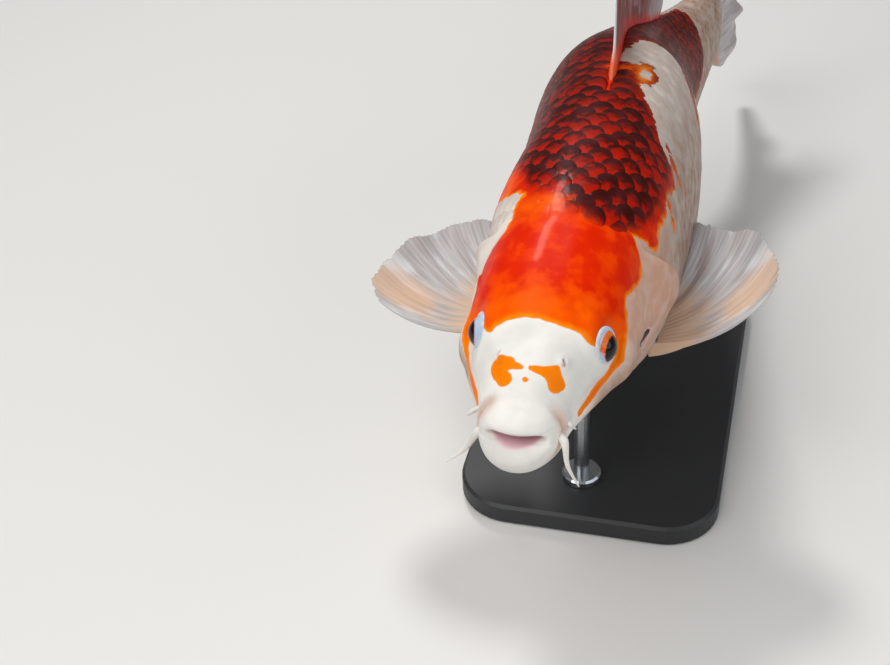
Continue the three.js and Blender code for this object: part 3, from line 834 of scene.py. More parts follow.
class KoiColours(bpy.types.PropertyGroup):
    """Colours of the carp and its stand."""

    white: colour_property("White", tone(240, 237, 230), "Bare white skin")
    pearl: colour_property("Pearl", tone(222, 220, 214), "Cooler clouds in the white")
    beige: colour_property("Beige", tone(206, 152, 124), "Cheeks and gill covers")
    # Grey-brown of the flanks, partly painted shade low on the flanks and cheeks.
    drab_and_shade: colour_property("Drab", tone(158, 116, 88), "Flanks")
    orange_edge: colour_property("Orange edge", tone(250, 134, 8), "Thin outer edge of a patch")
    orange: colour_property("Orange", tone(250, 92, 0), "Front of the red cap")
    red: colour_property("Red", tone(216, 34, 0), "Middle of the patches")
    red_clouds: colour_property("Red clouds", tone(236, 50, 0), "Lighter clouds in the red")
    deep_red: colour_property("Deep red", tone(158, 22, 8), "Red of the shoulder scales")
    brown_red: colour_property("Brown red", tone(116, 24, 12), "Red of the scales further back")
    dusk: colour_property("Dusk", tone(42, 16, 12), "Rear margins of the red scales")
    dusk_purple: colour_property("Dusk purple", tone(64, 28, 30), "Cooler clouds in those margins")
    scale_edge: colour_property("Scale edge", tone(176, 168, 164), "Rims of the white scales")
    flesh: colour_property("Flesh", tone(228, 180, 190), "Inside the mouth and the gills")
    # Painted shade: the dark painted into the mouth's depths, the gill crevices and openings, the
    # nostril slits and the slot at the root of each paired fin.
    shadow: colour_property("Shadow", tone(34, 18, 18), "Depths of the mouth and the gills")
    iris: colour_property("Iris", tone(204, 80, 14), "Ring of the eye")
    iris_glow: colour_property("Iris glow", tone(234, 118, 20), "Lighter flecks of that ring")
    pupil: colour_property("Pupil", tone(9, 9, 14), "Middle of the eye")
    eye_white: colour_property("Eye white", tone(176, 200, 226), "Rim of the eye")
    membrane: colour_property("Membrane", tone(186, 184, 184), "Skin between the fin rays")
    ray: colour_property("Ray", tone(228, 230, 234), "Fin rays")
    # Also painted as shade over the outer part of each fin.
    streak: colour_property("Streak", tone(150, 146, 146), "Cool streaks in the fins")
    peach: colour_property("Peach", tone(216, 180, 150), "Warm zone near a fin's front edge")
    base: colour_property("Base", tone(44, 46, 48), "Base of the stand")
    rod: colour_property("Rod", tone(186, 190, 194), "Rods of the stand")
    floor: colour_property("Floor", tone(226, 225, 222), "Floor under the model")


class KoiSizes(bpy.types.PropertyGroup):
    """Sizes of the skin, scales and eyes."""

    around: IntProperty(name="Around", description="Points round the skin", default=288, min=96)
    coat: length_property("Coat depth", 0.7 * MM, "How far the skin lies under the scales")
    scale_pitch: length_property("Scale pitch", 10.3 * MM, "From scale to scale at the shoulder")
    scale_pitch_rear: length_property("Rear pitch", 7.0 * MM, "From scale to scale at the tail")
    scale_lift: length_property("Scale lift", 0.75 * MM, "Height of a scale's free edge")
    rows_above: IntProperty(name="Rows above", description="Rows over the side line", default=12, min=3)
    rows_below: IntProperty(name="Rows below", description="Rows under the side line", default=10, min=3)
    eye: length_property("Eye radius", 8.3 * MM, "Radius of the eyeball")


# ---------------------------------------------------------------- skin

def skin_rings():
    """Ring numbers along the body, close together on the head and behind the gill covers."""
    face = np.arange(0, 60, 0.66)
    cheek = np.arange(60, EDGE_RING - 2.4, 1.0)
    from_edge = [-2, -1.3, -0.7, -0.3, 0, 0.3, 0.6, 0.9, 1.3, 1.8, 2.4, 3.2, 4.2, 5.4]
    edge = EDGE_RING + np.array(from_edge)
    behind = np.arange(EDGE_RING + 7, 150, 2.0)
    trunk = np.arange(151, 482.1, 3.6)
    return np.concatenate([face, cheek, edge, behind, trunk])


def warped(ring, angle):
    """The place behind the lips of a ring, drawn onto the line of the gill covers."""
    before = (ring - EDGE_FROM) / (EDGE_RING - EDGE_FROM)
    after = (EDGE_TO - ring) / (EDGE_TO - EDGE_RING)
    return ring + (edge_place(angle) - EDGE_RING) * np.clip(np.minimum(before, after), 0, 1)


def mouth_forms(t):
    """The cross-sections of the mouth's hollow and lips, by the row of their table."""
    return {
        key: smooth([(i, row[k]) for i, row in enumerate(MOUTH)], t)
        for k, key in enumerate(SECTION_KEYS)
    }


# Left edge, width, low edge and height on the bake map.
SKIN_PATCH = (0.01, 0.96, 0.01, 0.86)
BARBEL_PATCH = (0.02, 0.2, 0.9, 0.08)
BARBEL_PATCH_STEP = 0.24  # from one barbel's patch to the next


def build_skin(sizes, colours):
    """Makes the one skin of the head, body and barbels, with the hollow of the mouth."""
    columns = sizes.around
    angles = -90 + 360 * np.arange(columns) / columns
    # Inside the mouth and over the lips.
    t = np.concatenate([np.linspace(0, 3, 16)[:-1], np.linspace(3, 5, 15)[:-1]])
    lips_t, lips_angle = np.meshgrid(t, angles, indexing="ij")
    form = mouth_forms(lips_t)
    mouth = on_section(form["at"], lips_angle, form)
    # From the lips to the tail.
    rings, body_angle = np.meshgrid(skin_rings(), angles, indexing="ij")
    place = warped(rings, body_angle)
    body = on_section(place, body_angle)
    points = np.vstack([mouth, body])
    place = np.vstack([lips_t - 5, place])
    rings = np.vstack([lips_t - 5, rings])
    angle = np.vstack([lips_angle, body_angle])

    normal = outward(points)
    plain = points.copy()
    on_head = 1 - step(0, 4, place - edge_place(angle))
    nose, slit = nostril_relief(points)
    out = (head_relief(place, points) + nose) * on_head
    gill_out, forwards, gill_dark = gill_relief(rings, angle)
    opening = gill_opening(points)
    out += gill_out - GILL_OPENING_DEPTH * opening
    out -= sizes.coat / MM * scaled(place, angle)
    points = points + out[..., None] * normal
    points[..., 1] -= forwards
    points = seat_eyes(points)

    lower = step(-10, 10, -np.sin(np.radians(angle)) * 30)
    begins = 1.1 + 0.6 * lower
    # The mouth's hollow is flesh just inside the lips and painted shade further in.
    hollow = 0.4 * step(begins, begins + 0.8, -place) + 0.22 * step(3.0, 5.0, -place)
    hollow = np.where(place < 0, hollow, 0)
    # Painted shade also goes into the nostril slits, the crevices behind the gill covers and the gill
    # openings.
    gill_dark = np.maximum(gill_dark, opening)
    dark = np.clip(np.maximum(np.maximum(slit * on_head, gill_dark), hollow), 0, 1)
    values = finish_values(place, angle, plain, dark)
    shape = Shape()
    rows = len(points)
    corners = patch_corners(rows, columns, *SKIN_PATCH)
    shape.add(placed(points), quads_of(rows, columns, True), values, True, corners)
    shape.close_ends(rows, columns, True)
    for number, spec in enumerate(BARBELS.values()):
        add_barbel(shape, number, spec)
    material = koi_finish("koi_skin", colours, False)
    nodes = ["head", "upper_jaw", "lower_jaw", "trunk", "tail_stalk", *BARBELS]
    nodes += ["gill_cover_left", "gill_cover_right"]
    finish_piece(shape, "koi_skin", material, "skin", *nodes)


BARBELS = {
    "barbel_long_left": ((16.2, 9.5, -4.2), (0.14, -0.06, -0.95), 23, 2.7),
    "barbel_long_right": ((-17.6, 9.5, -5), (-0.5, 0.02, -0.86), 23, 2.8),
    "barbel_short_left": ((17.4, 15, 0), (0.5, 0.35, -0.79), 3.6, 1.5),
    "barbel_short_right": ((-21.8, 15, 0), (-0.5, 0.35, -0.79), 4, 1.5),
}
BARBEL_CURL = 0.22  # how far a tip bends back, as a share of the length
BARBEL_FLICK = 0.12  # and how far it turns outwards


def add_barbel(shape, number, spec):
    """A soft feeler that tapers along a gentle curve from a flared root."""
    root, way, length, thick = spec
    root, way = np.array(root, float), unit(way)
    inner = root + np.array([-np.sign(root[0]) * 3.5, 3.5, 1.0])
    middle, tip = root + way * length / 2, root + way * length
    middle[1] += BARBEL_CURL * length / 4
    tip[1] += BARBEL_CURL * length
    tip[0] += np.sign(root[0]) * BARBEL_FLICK * length
    steps, sides = 48, 24
    u = np.linspace(-4.5 / length, 1, steps)[:, None]
    stops = (-4.5 / length, 0, 0.5, 1)
    ways = zip(inner, root, middle, tip)
    line = np.concatenate([smooth(tuple(zip(stops, row)), u) for row in ways], 1)
    u = np.clip(u, 0, 1)
    along = np.gradient(line, axis=0)
    along /= np.linalg.norm(along, axis=1, keepdims=True)
    across = np.cross(along, [0, 1, 0.2])
    across /= np.linalg.norm(across, axis=1, keepdims=True)
    other = np.cross(along, across)
    radius = thick / 2 * (1 - 0.78 * u**1.2) * np.sqrt(np.clip((1.004 - u) / 0.03, 0, 1))
    radius = radius + thick * 0.14 * np.clip(1 - u * length / 8, 0, 1) ** 2
    turn = np.linspace(0, 2 * math.pi, sides, endpoint=False)
    ring = ring_of(turn[None], across[:, None], other[:, None])
    points = line[:, None] + ring * radius[:, None]
    zero = np.zeros(points.shape[:-1])
    values = finish_values(zero + 8, zero - 20, points)
    # A barbel is white, and far from any red.
    values["red_edge"] = zero - 20
    values["beige_and_shade"] = zero + 0.05
    left, *others = BARBEL_PATCH
    corners = patch_corners(steps, sides, left + BARBEL_PATCH_STEP * number, *others)
    shape.add(placed(points), quads_of(steps, sides, True), values, corners=corners)
    shape.close_ends(steps, sides)


# ---------------------------------------------------------------- scales

def arc_table(places, angles):
    """The distance round the body from the first angle to each of them, at each place."""
    at, angle = np.meshgrid(places, angles, indexing="ij")
    points = on_section(at, angle)
    steps = np.linalg.norm(np.diff(points, axis=1), axis=-1)
    return np.concatenate([np.zeros((len(places), 1)), np.cumsum(steps, 1)], 1)


class Rows:
    """Where rows of scales lie round the body: row 0 on the back, rows_above on the side line."""

    def __init__(self, above, below):
        self.above, self.below = above, below
        self.places = np.arange(60, 483, 3.0)
        self.count = above + below
        fine = np.linspace(90, -90, 181)
        arc = arc_table(self.places, fine)
        side = np.interp(0, -fine, np.arange(181)).astype(int)
        rows = np.linspace(0, self.count, self.count * 8 + 1)
        self.rows = rows
        self.table = np.empty((len(self.places), len(rows)))
        for i, measured in enumerate(arc):
            upper, whole = measured[side], measured[-1]
            wanted = np.where(
                rows <= above, rows / above * upper, upper + (rows - above) / below * (whole - upper)
            )
            self.table[i] = np.interp(wanted, measured, fine)

    def angle(self, place, row):
        """The angle on the left side of a row, which may be a fraction."""
        folded = np.abs(row)
        beyond = folded > self.count
        folded = np.where(beyond, 2 * self.count - folded, folded)
        i = np.clip((place - self.places[0]) / 3.0, 0, len(self.places) - 1.001)
        j = np.clip(folded * 8, 0, len(self.rows) - 1.001)
        i0, j0 = i.astype(int), j.astype(int)
        u, v = i - i0, j - j0
        low = self.table[i0, j0] * (1 - u) * (1 - v) + self.table[i0 + 1, j0] * u * (1 - v)
        found = low + self.table[i0, j0 + 1] * (1 - u) * v + self.table[i0 + 1, j0 + 1] * u * v
        found = np.where(beyond, -180 - found, found)
        return np.where(row < 0, 180 - found, found)


SCALE_GRID = (12, 11)  # points along and across one scale
SCALE_REACH = 1.95  # its length, in pitches
SCALE_SIDE = 0.93  # half its width, in rows
SCALE_ROUND = 0.86  # how far its rear edge is rounded, in pitches
SCALE_THICK = 0.32
SCALE_CROWN = 0.35  # how far its middle stands over its sides
SCALE_CRESCENT = 0.32  # how much thinner its dark margin is at the sides
SCALE_DEPTH = 0.35  # how deep its root lies in the skin
SCALE_TUCK = 1.4  # how much deeper it lies where a gill cover hides it
SCALE_NAPE = 0.45  # how much flatter the first scales of the nape lie
# How unevenly scales lie: in place, in turn for each pitch, in rows, and in lift, as a share.
STRAY_PLACE, STRAY_TURN, STRAY_LIFT = 0.18, 0.02, 0.1
MAP_PATCH = 0.003  # size of its patch on the bake map

FIRST_REAR = 86.0  # place of the rear edge of the foremost scales
LAST_REAR = 470.0
EDGE_CLEAR = 3.5  # from the line of the gill covers to the first rear edges
# Where the roots of fins take the scales' place: stretches of the back and the belly, and round
# the roots of the pectoral fins.
DORSAL_ROOT = (186, 384)
ANAL_ROOT = (350, 404)
PECTORAL_ROOT = (138, -25)  # place and angle
PECTORAL_CLEAR = 9
SCALE_SEED = 7


def scale_roots(sizes, rows):
    """Rows, places and pitches of the scales' rear edges, alternate rows half a pitch apart."""
    near, far = sizes.scale_pitch / MM, sizes.scale_pitch_rear / MM
    places = [FIRST_REAR]
    while places[-1] < LAST_REAR + 4:
        places.append(places[-1] + near + (far - near) * step(180, 440, places[-1]))
    found = []
    for row in range(-rows.count + 1, rows.count + 1):
        shift = 0.5 if row % 2 else 0.0
        for start, end in zip(places[:-1], places[1:]):
            found.append((row, start + shift * (end - start), end - start))
    return np.array(found).T


def within(value, low, high):
    """Whether each value lies between two others."""
    return (value > low) & (value < high)


def scales_grow(row, rear, angle, rows):
    """Where scales grow: behind the gill covers, and clear of the roots of the fins."""
    dorsal = (np.abs(row) < 0.5) & within(rear, *DORSAL_ROOT)
    anal = (np.abs(row) > rows.count - 0.5) & within(rear, *ANAL_ROOT)
    from_root = (folded_to(angle) - PECTORAL_ROOT[1]) * 0.7
    pectoral = np.hypot(rear - PECTORAL_ROOT[0], from_root) < PECTORAL_CLEAR
    on_body = (rear - edge_place(angle) > EDGE_CLEAR) & (rear < LAST_REAR)
    return on_body & ~(dorsal | anal | pectoral)


def scale_outline():
    """How far each point of a scale lies behind its root, in pitches, and aside, in rows.

    The last value is 1 on the rear rim and falls to 0 one pitch in front of it.
    """
    along_count, across_count = SCALE_GRID
    u = np.concatenate([np.linspace(0, 0.95, along_count - 3), [0.985, 1.0, 1.0]])[:, None]
    a = signed_power(np.linspace(-1, 1, across_count), 0.8)
    across = a * (0.62 + 0.38 * step(0, 0.5, u)) * SCALE_SIDE
    rounded = SCALE_ROUND * (1 - np.sqrt(np.clip(1 - (a / 1.02) ** 2, 0, 1)))
    behind = u * (SCALE_REACH - rounded)
    rim = 1 - (SCALE_REACH - rounded - behind) - SCALE_CRESCENT * a**2
    return behind, across, np.clip(rim, 0, 1)


def body_normals(place, angle, points):
    """Directions out of the straight carp's plain form."""
    e = 0.5
    back = on_section(place + e, angle) - on_section(place - e, angle)
    across = on_section(place, angle + e) - on_section(place, angle - e)
    normal = np.cross(back, across)
    normal /= np.linalg.norm(normal, axis=-1, keepdims=True)
    from_middle = points - np.stack([0 * place, place, 8 + 0 * place], -1)
    return normal * np.sign((normal * from_middle).sum(-1, keepdims=True))


def build_scales(sizes, colours):
    """Makes the coat: separate solid scales, joined into four meshes."""
    rows = Rows(sizes.rows_above, sizes.rows_below)
    roots = scale_roots(sizes, rows)
    root_angle = rows.angle(roots[1], roots[0])
    keep = scales_grow(roots[0], roots[1], root_angle, rows)
    row, rear, pitch = roots[:, keep]
    jitter = np.random.default_rng(SCALE_SEED).normal(0, 1, (4, len(row)))[..., None, None]
    pitches = pitch[:, None, None]

    behind, across, rim = scale_outline()
    from_rear = SCALE_REACH - behind
    place = rear[:, None, None] - from_rear * pitches + jitter[0] * STRAY_PLACE
    rows_at = row[:, None, None] + across + jitter[1] * STRAY_TURN * from_rear
    angle = rows.angle(np.clip(place, 60, 482), rows_at)
    points = on_section(place, angle)
    normal = body_normals(place, angle, points)

    coat, lift = sizes.coat / MM, sizes.scale_lift / MM * (1 + STRAY_LIFT * jitter[2])
    share, size = behind / SCALE_REACH, pitches / pitches.max()
    rise = (lift + SCALE_DEPTH + coat * 0.6) * share**0.9
    height = -coat - SCALE_DEPTH + rise * (0.55 + 0.45 * size)
    crown = SCALE_CROWN * (1 - (across / SCALE_SIDE) ** 2)
    crown = crown * np.sin(math.pi * np.clip(share, 0, 1)) * size
    from_edge = (rear - edge_place(root_angle[keep]))[:, None, None]
    height = height + crown * (1 - 0.7 * (1 - step(2, 26, from_edge)))
    border = np.zeros(SCALE_GRID)
    border[-1] = border[:, 0] = border[:, -1] = 1
    height = height - border * SCALE_THICK
    # A scale near the gill cover starts under its edge.
    hidden = 1 - step(-2, 5, place - edge_place(angle))
    nape = step(*NAPE_FROM, folded_to(angle))
    height = height - hidden * SCALE_TUCK * (1 - nape)
    height = height - nape * share * SCALE_NAPE * (1 - step(-2, 16, from_edge))

    values = finish_values(place, angle, points)
    values["rim"] = rim + 0 * place
    values["shade"] = jitter[3] + 0 * place
    top, below = (points + normal * (height - d)[..., None] for d in (0, SCALE_THICK))
    on_right = np.abs(angle[:, SCALE_GRID[0] // 2, SCALE_GRID[1] // 2]) > 90
    upper = np.abs(row) <= rows.above
    material = koi_finish("koi_scales", colours, True)
    for right, side in enumerate(("left", "right")):
        for half, chosen in (("upper", upper), ("lower", ~upper)):
            chosen = np.flatnonzero(chosen & (on_right == right))
            picked = {key: value[chosen] for key, value in values.items()}
            shape = Shape()
            where = row[chosen], rear[chosen], rows.count
            add_scales(shape, top[chosen], below[chosen], picked, where)
            finish_piece(shape, f"scales_{side}_{half}", material, "skin")


def add_scales(shape, top, below, values, where):
    """Adds scales to a mesh, each a solid with an underside and a border of its own."""
    count, size = len(top), SCALE_GRID[0] * SCALE_GRID[1]
    ring, underside = underside_of(*SCALE_GRID)
    grid = quads_of(*SCALE_GRID)
    owner = np.arange(count)[:, None, None]
    values = {key: value.reshape(count, size, -1) for key, value in values.items()}
    faces = (grid + owner * size).reshape(-1, 4)
    shape.add(placed(top), faces, values, corners=scale_corners(*where, grid))
    values = {key: value[:, ring] for key, value in values.items()}
    faces = (underside + owner * len(ring)).reshape(-1, 4)
    below = placed(below.reshape(count, size, 3)[:, ring])
    shape.add(below, faces, values, corners=scale_corners(*where, ring[underside]))
    high = owner[..., 0] * size + ring
    low = count * size + owner[..., 0] * len(ring) + np.arange(len(ring))
    faces = np.stack([np.roll(high, -1, 1), high, low, np.roll(low, -1, 1)], -1)
    shape.faces.append(faces.reshape(-1, 4))
    after = np.roll(ring, -1)
    shape.maps.append(scale_corners(*where, np.stack([after, ring, ring, after], -1)))


def underside_of(rows, columns):
    """A scale's border, from the middle of its front edge round, and the faces of its underside."""
    middle = columns // 2
    ring = list(range(middle, columns))
    ring += [r * columns + columns - 1 for r in range(1, rows)]
    ring += [(rows - 1) * columns + c for c in range(columns - 2, -1, -1)]
    ring += [r * columns for r in range(rows - 2, -1, -1)]
    ring += list(range(1, middle))
    count, half = len(ring), len(ring) // 2
    faces = [(count - 1, 1, 0, 0)]
    faces += [(count - i, count - i - 1, i + 1, i) for i in range(1, half - 1)]
    faces.append((half + 1, half, half - 1, half - 1))
    return np.array(ring), np.array(faces)


def border_faces(rows, columns, other):
    """Faces that close the gap between a grid and its copy `other` points further on."""
    ring, _ = underside_of(rows, columns)
    following = np.roll(ring, -1)
    return np.stack([following, ring, ring + other, following + other], -1)


def scale_corners(row, rear, row_count, points):
    """A small patch of the bake map for each scale, at its root's place on the body."""
    along, across = points // SCALE_GRID[1], points % SCALE_GRID[1]
    u = 0.02 + 0.96 * (row + row_count) / (2 * row_count + 1)
    v = 0.02 + 0.96 * rear / 490
    u = u[:, None, None] + (across / (SCALE_GRID[1] - 1) - 0.5) * MAP_PATCH
    v = v[:, None, None] + (along / (SCALE_GRID[0] - 1) - 0.5) * MAP_PATCH
    return np.stack([u, v], -1).reshape(-1, 4, 2)


# ---------------------------------------------------------------- eyes

def eye_directions(axis):
    """Two directions across an eye's axis."""
    across = unit(np.cross(axis, [0, 0, 1]))
    return across, np.cross(across, axis)


def ring_of(turn, across, up):
    """Directions at angles round an axis, from the two that lie across it."""
    return np.cos(turn)[..., None] * across + np.sin(turn)[..., None] * up


def build_eyes(sizes, colours):
    """Makes each eyeball and the ring of soft skin round it."""
    ball = eye_finish(colours)
    rim = rim_finish(colours)
    for side, word in ((1, "left"), (-1, "right")):
        centre, gaze = eye_centre(side), mirrored(GAZE, side)
        across, up = eye_directions(gaze)
        rows, columns = 60, 72
        theta = np.linspace(0.004, math.pi * 0.98, rows)[:, None]
        turn = np.linspace(0, 2 * math.pi, columns, endpoint=False)[None]
        radius = sizes.eye / MM + 0.55 * bump(np.degrees(theta), 48) + 0 * turn
        ring = ring_of(turn, across, up)
        way = np.cos(theta)[..., None] * gaze + np.sin(theta)[..., None] * ring
        points = centre + radius[..., None] * way
        values = {
            "straight": points,
            "from_gaze": np.degrees(theta) + 0 * turn,
            "eye_pale": way @ np.array(EYE_PALE[side][0]) + EYE_PALE[side][1],
        }
        shape = Shape()
        shape.add(placed(points), quads_of(rows, columns, True), values)
        shape.close_ends(rows, columns)
        finish_piece(shape, "eyeball_" + word, ball, "eye", "eye_" + word)

        axis = mirrored(EYE_AXIS, side)
        across, up = eye_directions(axis)
        rows, columns = 24, 96
        tube = np.linspace(0, 2 * math.pi, rows, endpoint=False)[:, None]
        turn = np.linspace(0, 2 * math.pi, columns, endpoint=False)[None]
        fat = 1 + 0.25 * np.sin(turn)
        out = RIM_RADIUS + 1.05 * np.cos(tube) * fat
        height = RIM_HEIGHT - 0.45 + 0.9 * np.sin(tube) * fat
        ring = ring_of(turn, across, up)
        points = centre + out[..., None] * ring + height[..., None] * axis
        shape = Shape()
        faces = quads_of(rows, columns, True, True)
        shape.add(placed(points), faces, {"straight": points}, flip=True)
        finish_piece(shape, "eye_rim_" + word, rim, "skin")


def eye_finish(colours):
    """A dark pupil in an orange iris, pale blue towards the front of its lower edge."""
    f = Finish("koi_eye", roughness=0.12, specular=0.2, coat=0.18, coat_roughness=0.03)
    angle = f.attribute("from_gaze")
    grain = f.noise(1.5, 4)
    angle = f.plus(angle, f.ramp(grain, 0.3, 0.7, -0.7, 0.7))
    iris = f.mix(f.ramp(grain, 0.3, 0.7), colours.iris, colours.iris_glow)
    iris = f.mix(f.ramp(angle, 38, 42), colours.shadow, iris)
    low = f.times(f.ramp(f.attribute("eye_pale"), 0.3, 0.62), f.ramp(angle, 39, 45))
    iris = f.mix(low, iris, colours.eye_white)
    iris = f.mix(f.ramp(angle, 54, 61), iris, colours.eye_white)
    f.colour(f.mix(f.ramp(angle, 35, 37), colours.pupil, iris))
    return f.material


def rim_finish(colours):
    """The moist, pale blue skin round an eye."""
    f = Finish("koi_eye_rim", roughness=0.34, coat=0.2, under=0.15)
    f.colour(f.mix(f.ramp(f.noise(0.4, 3), 0.35, 0.75), colours.eye_white, colours.pearl))
    f.bump(f.noise(1.5, 3), 0.1, 0.0005)
    return f.material


# ---------------------------------------------------------------- fins

def on_median(back, out, aside):
    """The upright plane of the dorsal, anal and tail fins."""
    return np.stack([aside, back, out], -1)


def paired_place(side, hinge, rise, climb):
    """A plane for a paired fin that rises outwards and climbs backwards, in degrees."""
    outwards = unit([1, 0, math.tan(math.radians(rise))])
    backwards = np.array([0, 1, math.tan(math.radians(climb))])
    backwards = unit(backwards - (backwards @ outwards) * outwards)
    normal = np.cross(outwards, backwards)

    def place(back, out, aside):
        point = np.array(hinge, float) + back[..., None] * backwards
        point = point + out[..., None] * outwards + aside[..., None] * normal
        return point * np.array([side, 1, 1])

    return place


# The line of a fin's root, from 0 at its leading end to 1: distances back and out.
def along_back(start, end, sunk):
    return lambda v: (start + (end - start) * v, section(start + (end - start) * v)["back"] - sunk)


def along_belly(start, end, sunk):
    return lambda v: (start + (end - start) * v, section(start + (end - start) * v)["belly"] + sunk)


def from_hinge(start, end):
    return lambda v: (start + (end - start) * v, 0 * v)


def down_stalk(high, low):
    return lambda v: (BODY_LENGTH - 3 + 0 * v, high + (low - high) * v)


PECTORAL_HINGE = (33, 138, -20)
PELVIC_HINGE = (20, 220, -52)
PECTORAL = dict(
    root=from_hinge(-13, 12), cup=5, thick=(9, 0.9), rays=18, steps=64, look="pectoral"
)
PELVIC = dict(
    root=from_hinge(-5, 9), reach=((0, 58), (0.2, 62), (0.6, 50), (1, 32)), fan=((0, 46), (1, 4)),
    sweep=0.3, cup=3, thick=(4, 0.9), rays=9, steps=40, look="pectoral",
)
# Each fin is a fan of rays: their lengths and their directions in degrees from straight back,
# from the leading edge to the trailing edge, and how far they bend back, bell out and thicken.
FINS = {
    "dorsal_fin": dict(
        root=along_back(190, 372, 5), reach=((0, 66), (0.06, 74), (0.25, 56), (0.6, 42), (1, 36)),
        fan=((0, 64), (0.3, 54), (1, 34)), sweep=0.14, cup=-5, thick=(4, 0.9), rays=22, steps=40,
        place=on_median, look="dorsal",
    ),
    "anal_fin": dict(
        root=along_belly(350, 392, 5), reach=((0, 54), (0.12, 58), (0.5, 40), (1, 28)),
        fan=((0, -66), (1, -28)), sweep=0.15, cup=2, thick=(4, 0.9), rays=8, steps=40,
        place=on_median, look="tail",
    ),
    "caudal_fin_upper": dict(
        root=down_stalk(31, 0), reach=((0, 114), (0.1, 116), (0.5, 84), (1, 50)),
        fan=((0, 36), (0.5, 22), (1, 2)), sweep=0.3, cup=8, thick=(7, 1), rays=10, steps=56,
        place=on_median, look="tail",
    ),
    "caudal_fin_lower": dict(
        root=down_stalk(0, -31), reach=((0, 50), (0.5, 82), (0.9, 112), (1, 108)),
        fan=((0, -2), (0.5, -22), (1, -36)), sweep=0.3, cup=8, thick=(7, 1), rays=10, steps=56,
        place=on_median, look="tail",
    ),
    "pectoral_fin_left": dict(
        PECTORAL, reach=((0, 64), (0.12, 74), (0.35, 77), (0.6, 67), (0.85, 60), (1, 48)),
        fan=((0, 84), (0.5, 44), (1, 14)), sweep=0.36, place=paired_place(1, PECTORAL_HINGE, 4, 20),
    ),
    "pectoral_fin_right": dict(
        PECTORAL, reach=((0, 65), (0.15, 76), (0.5, 74), (0.8, 66), (1, 52)),
        fan=((0, 112), (0.5, 64), (1, 24)), sweep=0.26, place=paired_place(-1, PECTORAL_HINGE, -2, 14),
    ),
    "pelvic_fin_left": dict(PELVIC, place=paired_place(1, PELVIC_HINGE, -24, 4)),
    "pelvic_fin_right": dict(PELVIC, place=paired_place(-1, PELVIC_HINGE, -24, 4)),
}
PER_RAY = 9  # points across one ray and its membrane
TORN_EDGE = 0.008  # how uneven the outer edge is, as a share of the rays' length
MEMBRANE_SHORT = 0.012  # how far the membrane ends before the rays, likewise


def ray_ridge(v, u, rays):
    """1 on a fin ray and 0 on the membrane; each ray forks in the outer half of the fin."""
    from_ray = np.mod(v * rays, 1) - 0.5
    fork = 0.25 * step(0.42, 0.95, u)
    slim = 0.15 - 0.05 * u
    one, other = (np.exp(-(((from_ray + way) / slim) ** 2)) for way in (fork, -fork))
    return np.maximum(one, other)


def build_fin(name, spec, materials):
    """Makes a fin: two faces over its rays and membranes, closed round the border."""
    rays, steps = spec["rays"], spec["steps"]
    v = np.linspace(0, 1, rays * PER_RAY + 1)[:, None]
    u = np.linspace(0, 1, steps)[None] ** 0.92
    ridge = ray_ridge(v, u, rays) + 0 * v
    tip = ray_ridge(v, 1 + 0 * v, rays)
    spread = np.random.default_rng(len(name))
    torn = spread.normal(0, TORN_EDGE, 2 * rays + 1)
    torn = np.interp(v[:, 0], np.linspace(0, 1, 2 * rays + 1), torn)
    edge = 1 - MEMBRANE_SHORT * (1 - tip) + torn[:, None]
    length = smooth(spec["reach"], v) * edge
    angle = np.radians(smooth(spec["fan"], v))
    back, out = spec["root"](v)
    turn = angle * (1 - spec["sweep"] * u)
    aside = spec["cup"] * u * u * np.sin(math.pi * (0.2 + 0.6 * v))
    wave = u**2 * np.sin(2 * math.pi * (v * 2.3 + 0.35 * u)) * 0.26 * abs(spec["cup"])
    wave = wave + 0.9 * step(0.1, 0.5, u) * np.sin(2 * math.pi * (v * 4.1 - 0.6 * u + 0.2))
    p = back + length * u * np.cos(turn)
    q = out + length * u * np.sin(turn)
    root, end = spec["thick"]
    thick = (root + (end - root) * step(0, 0.45, u)) / 2
    thin = 0.9 + 0.1 * np.exp(-u * 5)
    edges = 0.35 + 0.65 * step(0, 0.03, v) * (1 - step(0.97, 1, v))
    half = thick * (thin + (1 - thin) * ridge) * edges
    half = np.maximum(half * (1 - 0.55 * step(0.9, 1, u)), 0.12)
    faces = [spec["place"](p, q, aside + wave + sign * half) for sign in (1, -1)]
    values = {"ray": ridge, "out": u + 0 * v, "across": v + 0 * u}
    values.update(fan_ray=v * rays + 0 * u, fan_out=u * 2 + 0 * v)
    rows, columns = ridge.shape
    shape = Shape()
    grid = quads_of(rows, columns)
    one, other = faces
    facing = np.cross(one[1, 1] - one[0, 1], one[0, 2] - one[0, 1]) @ (one - other)[0, 1]
    for k, points in enumerate(faces):
        fields = {"straight": points, **values}
        shape.add(placed(points), grid, fields, flip=(facing > 0) == (k == 0))
    border = border_faces(rows, columns, rows * columns)
    shape.faces.append(border if facing < 0 else border[:, ::-1])
    finish_piece(shape, name.replace("fin", "fin_skin"), materials[spec["look"]], "fin", name)


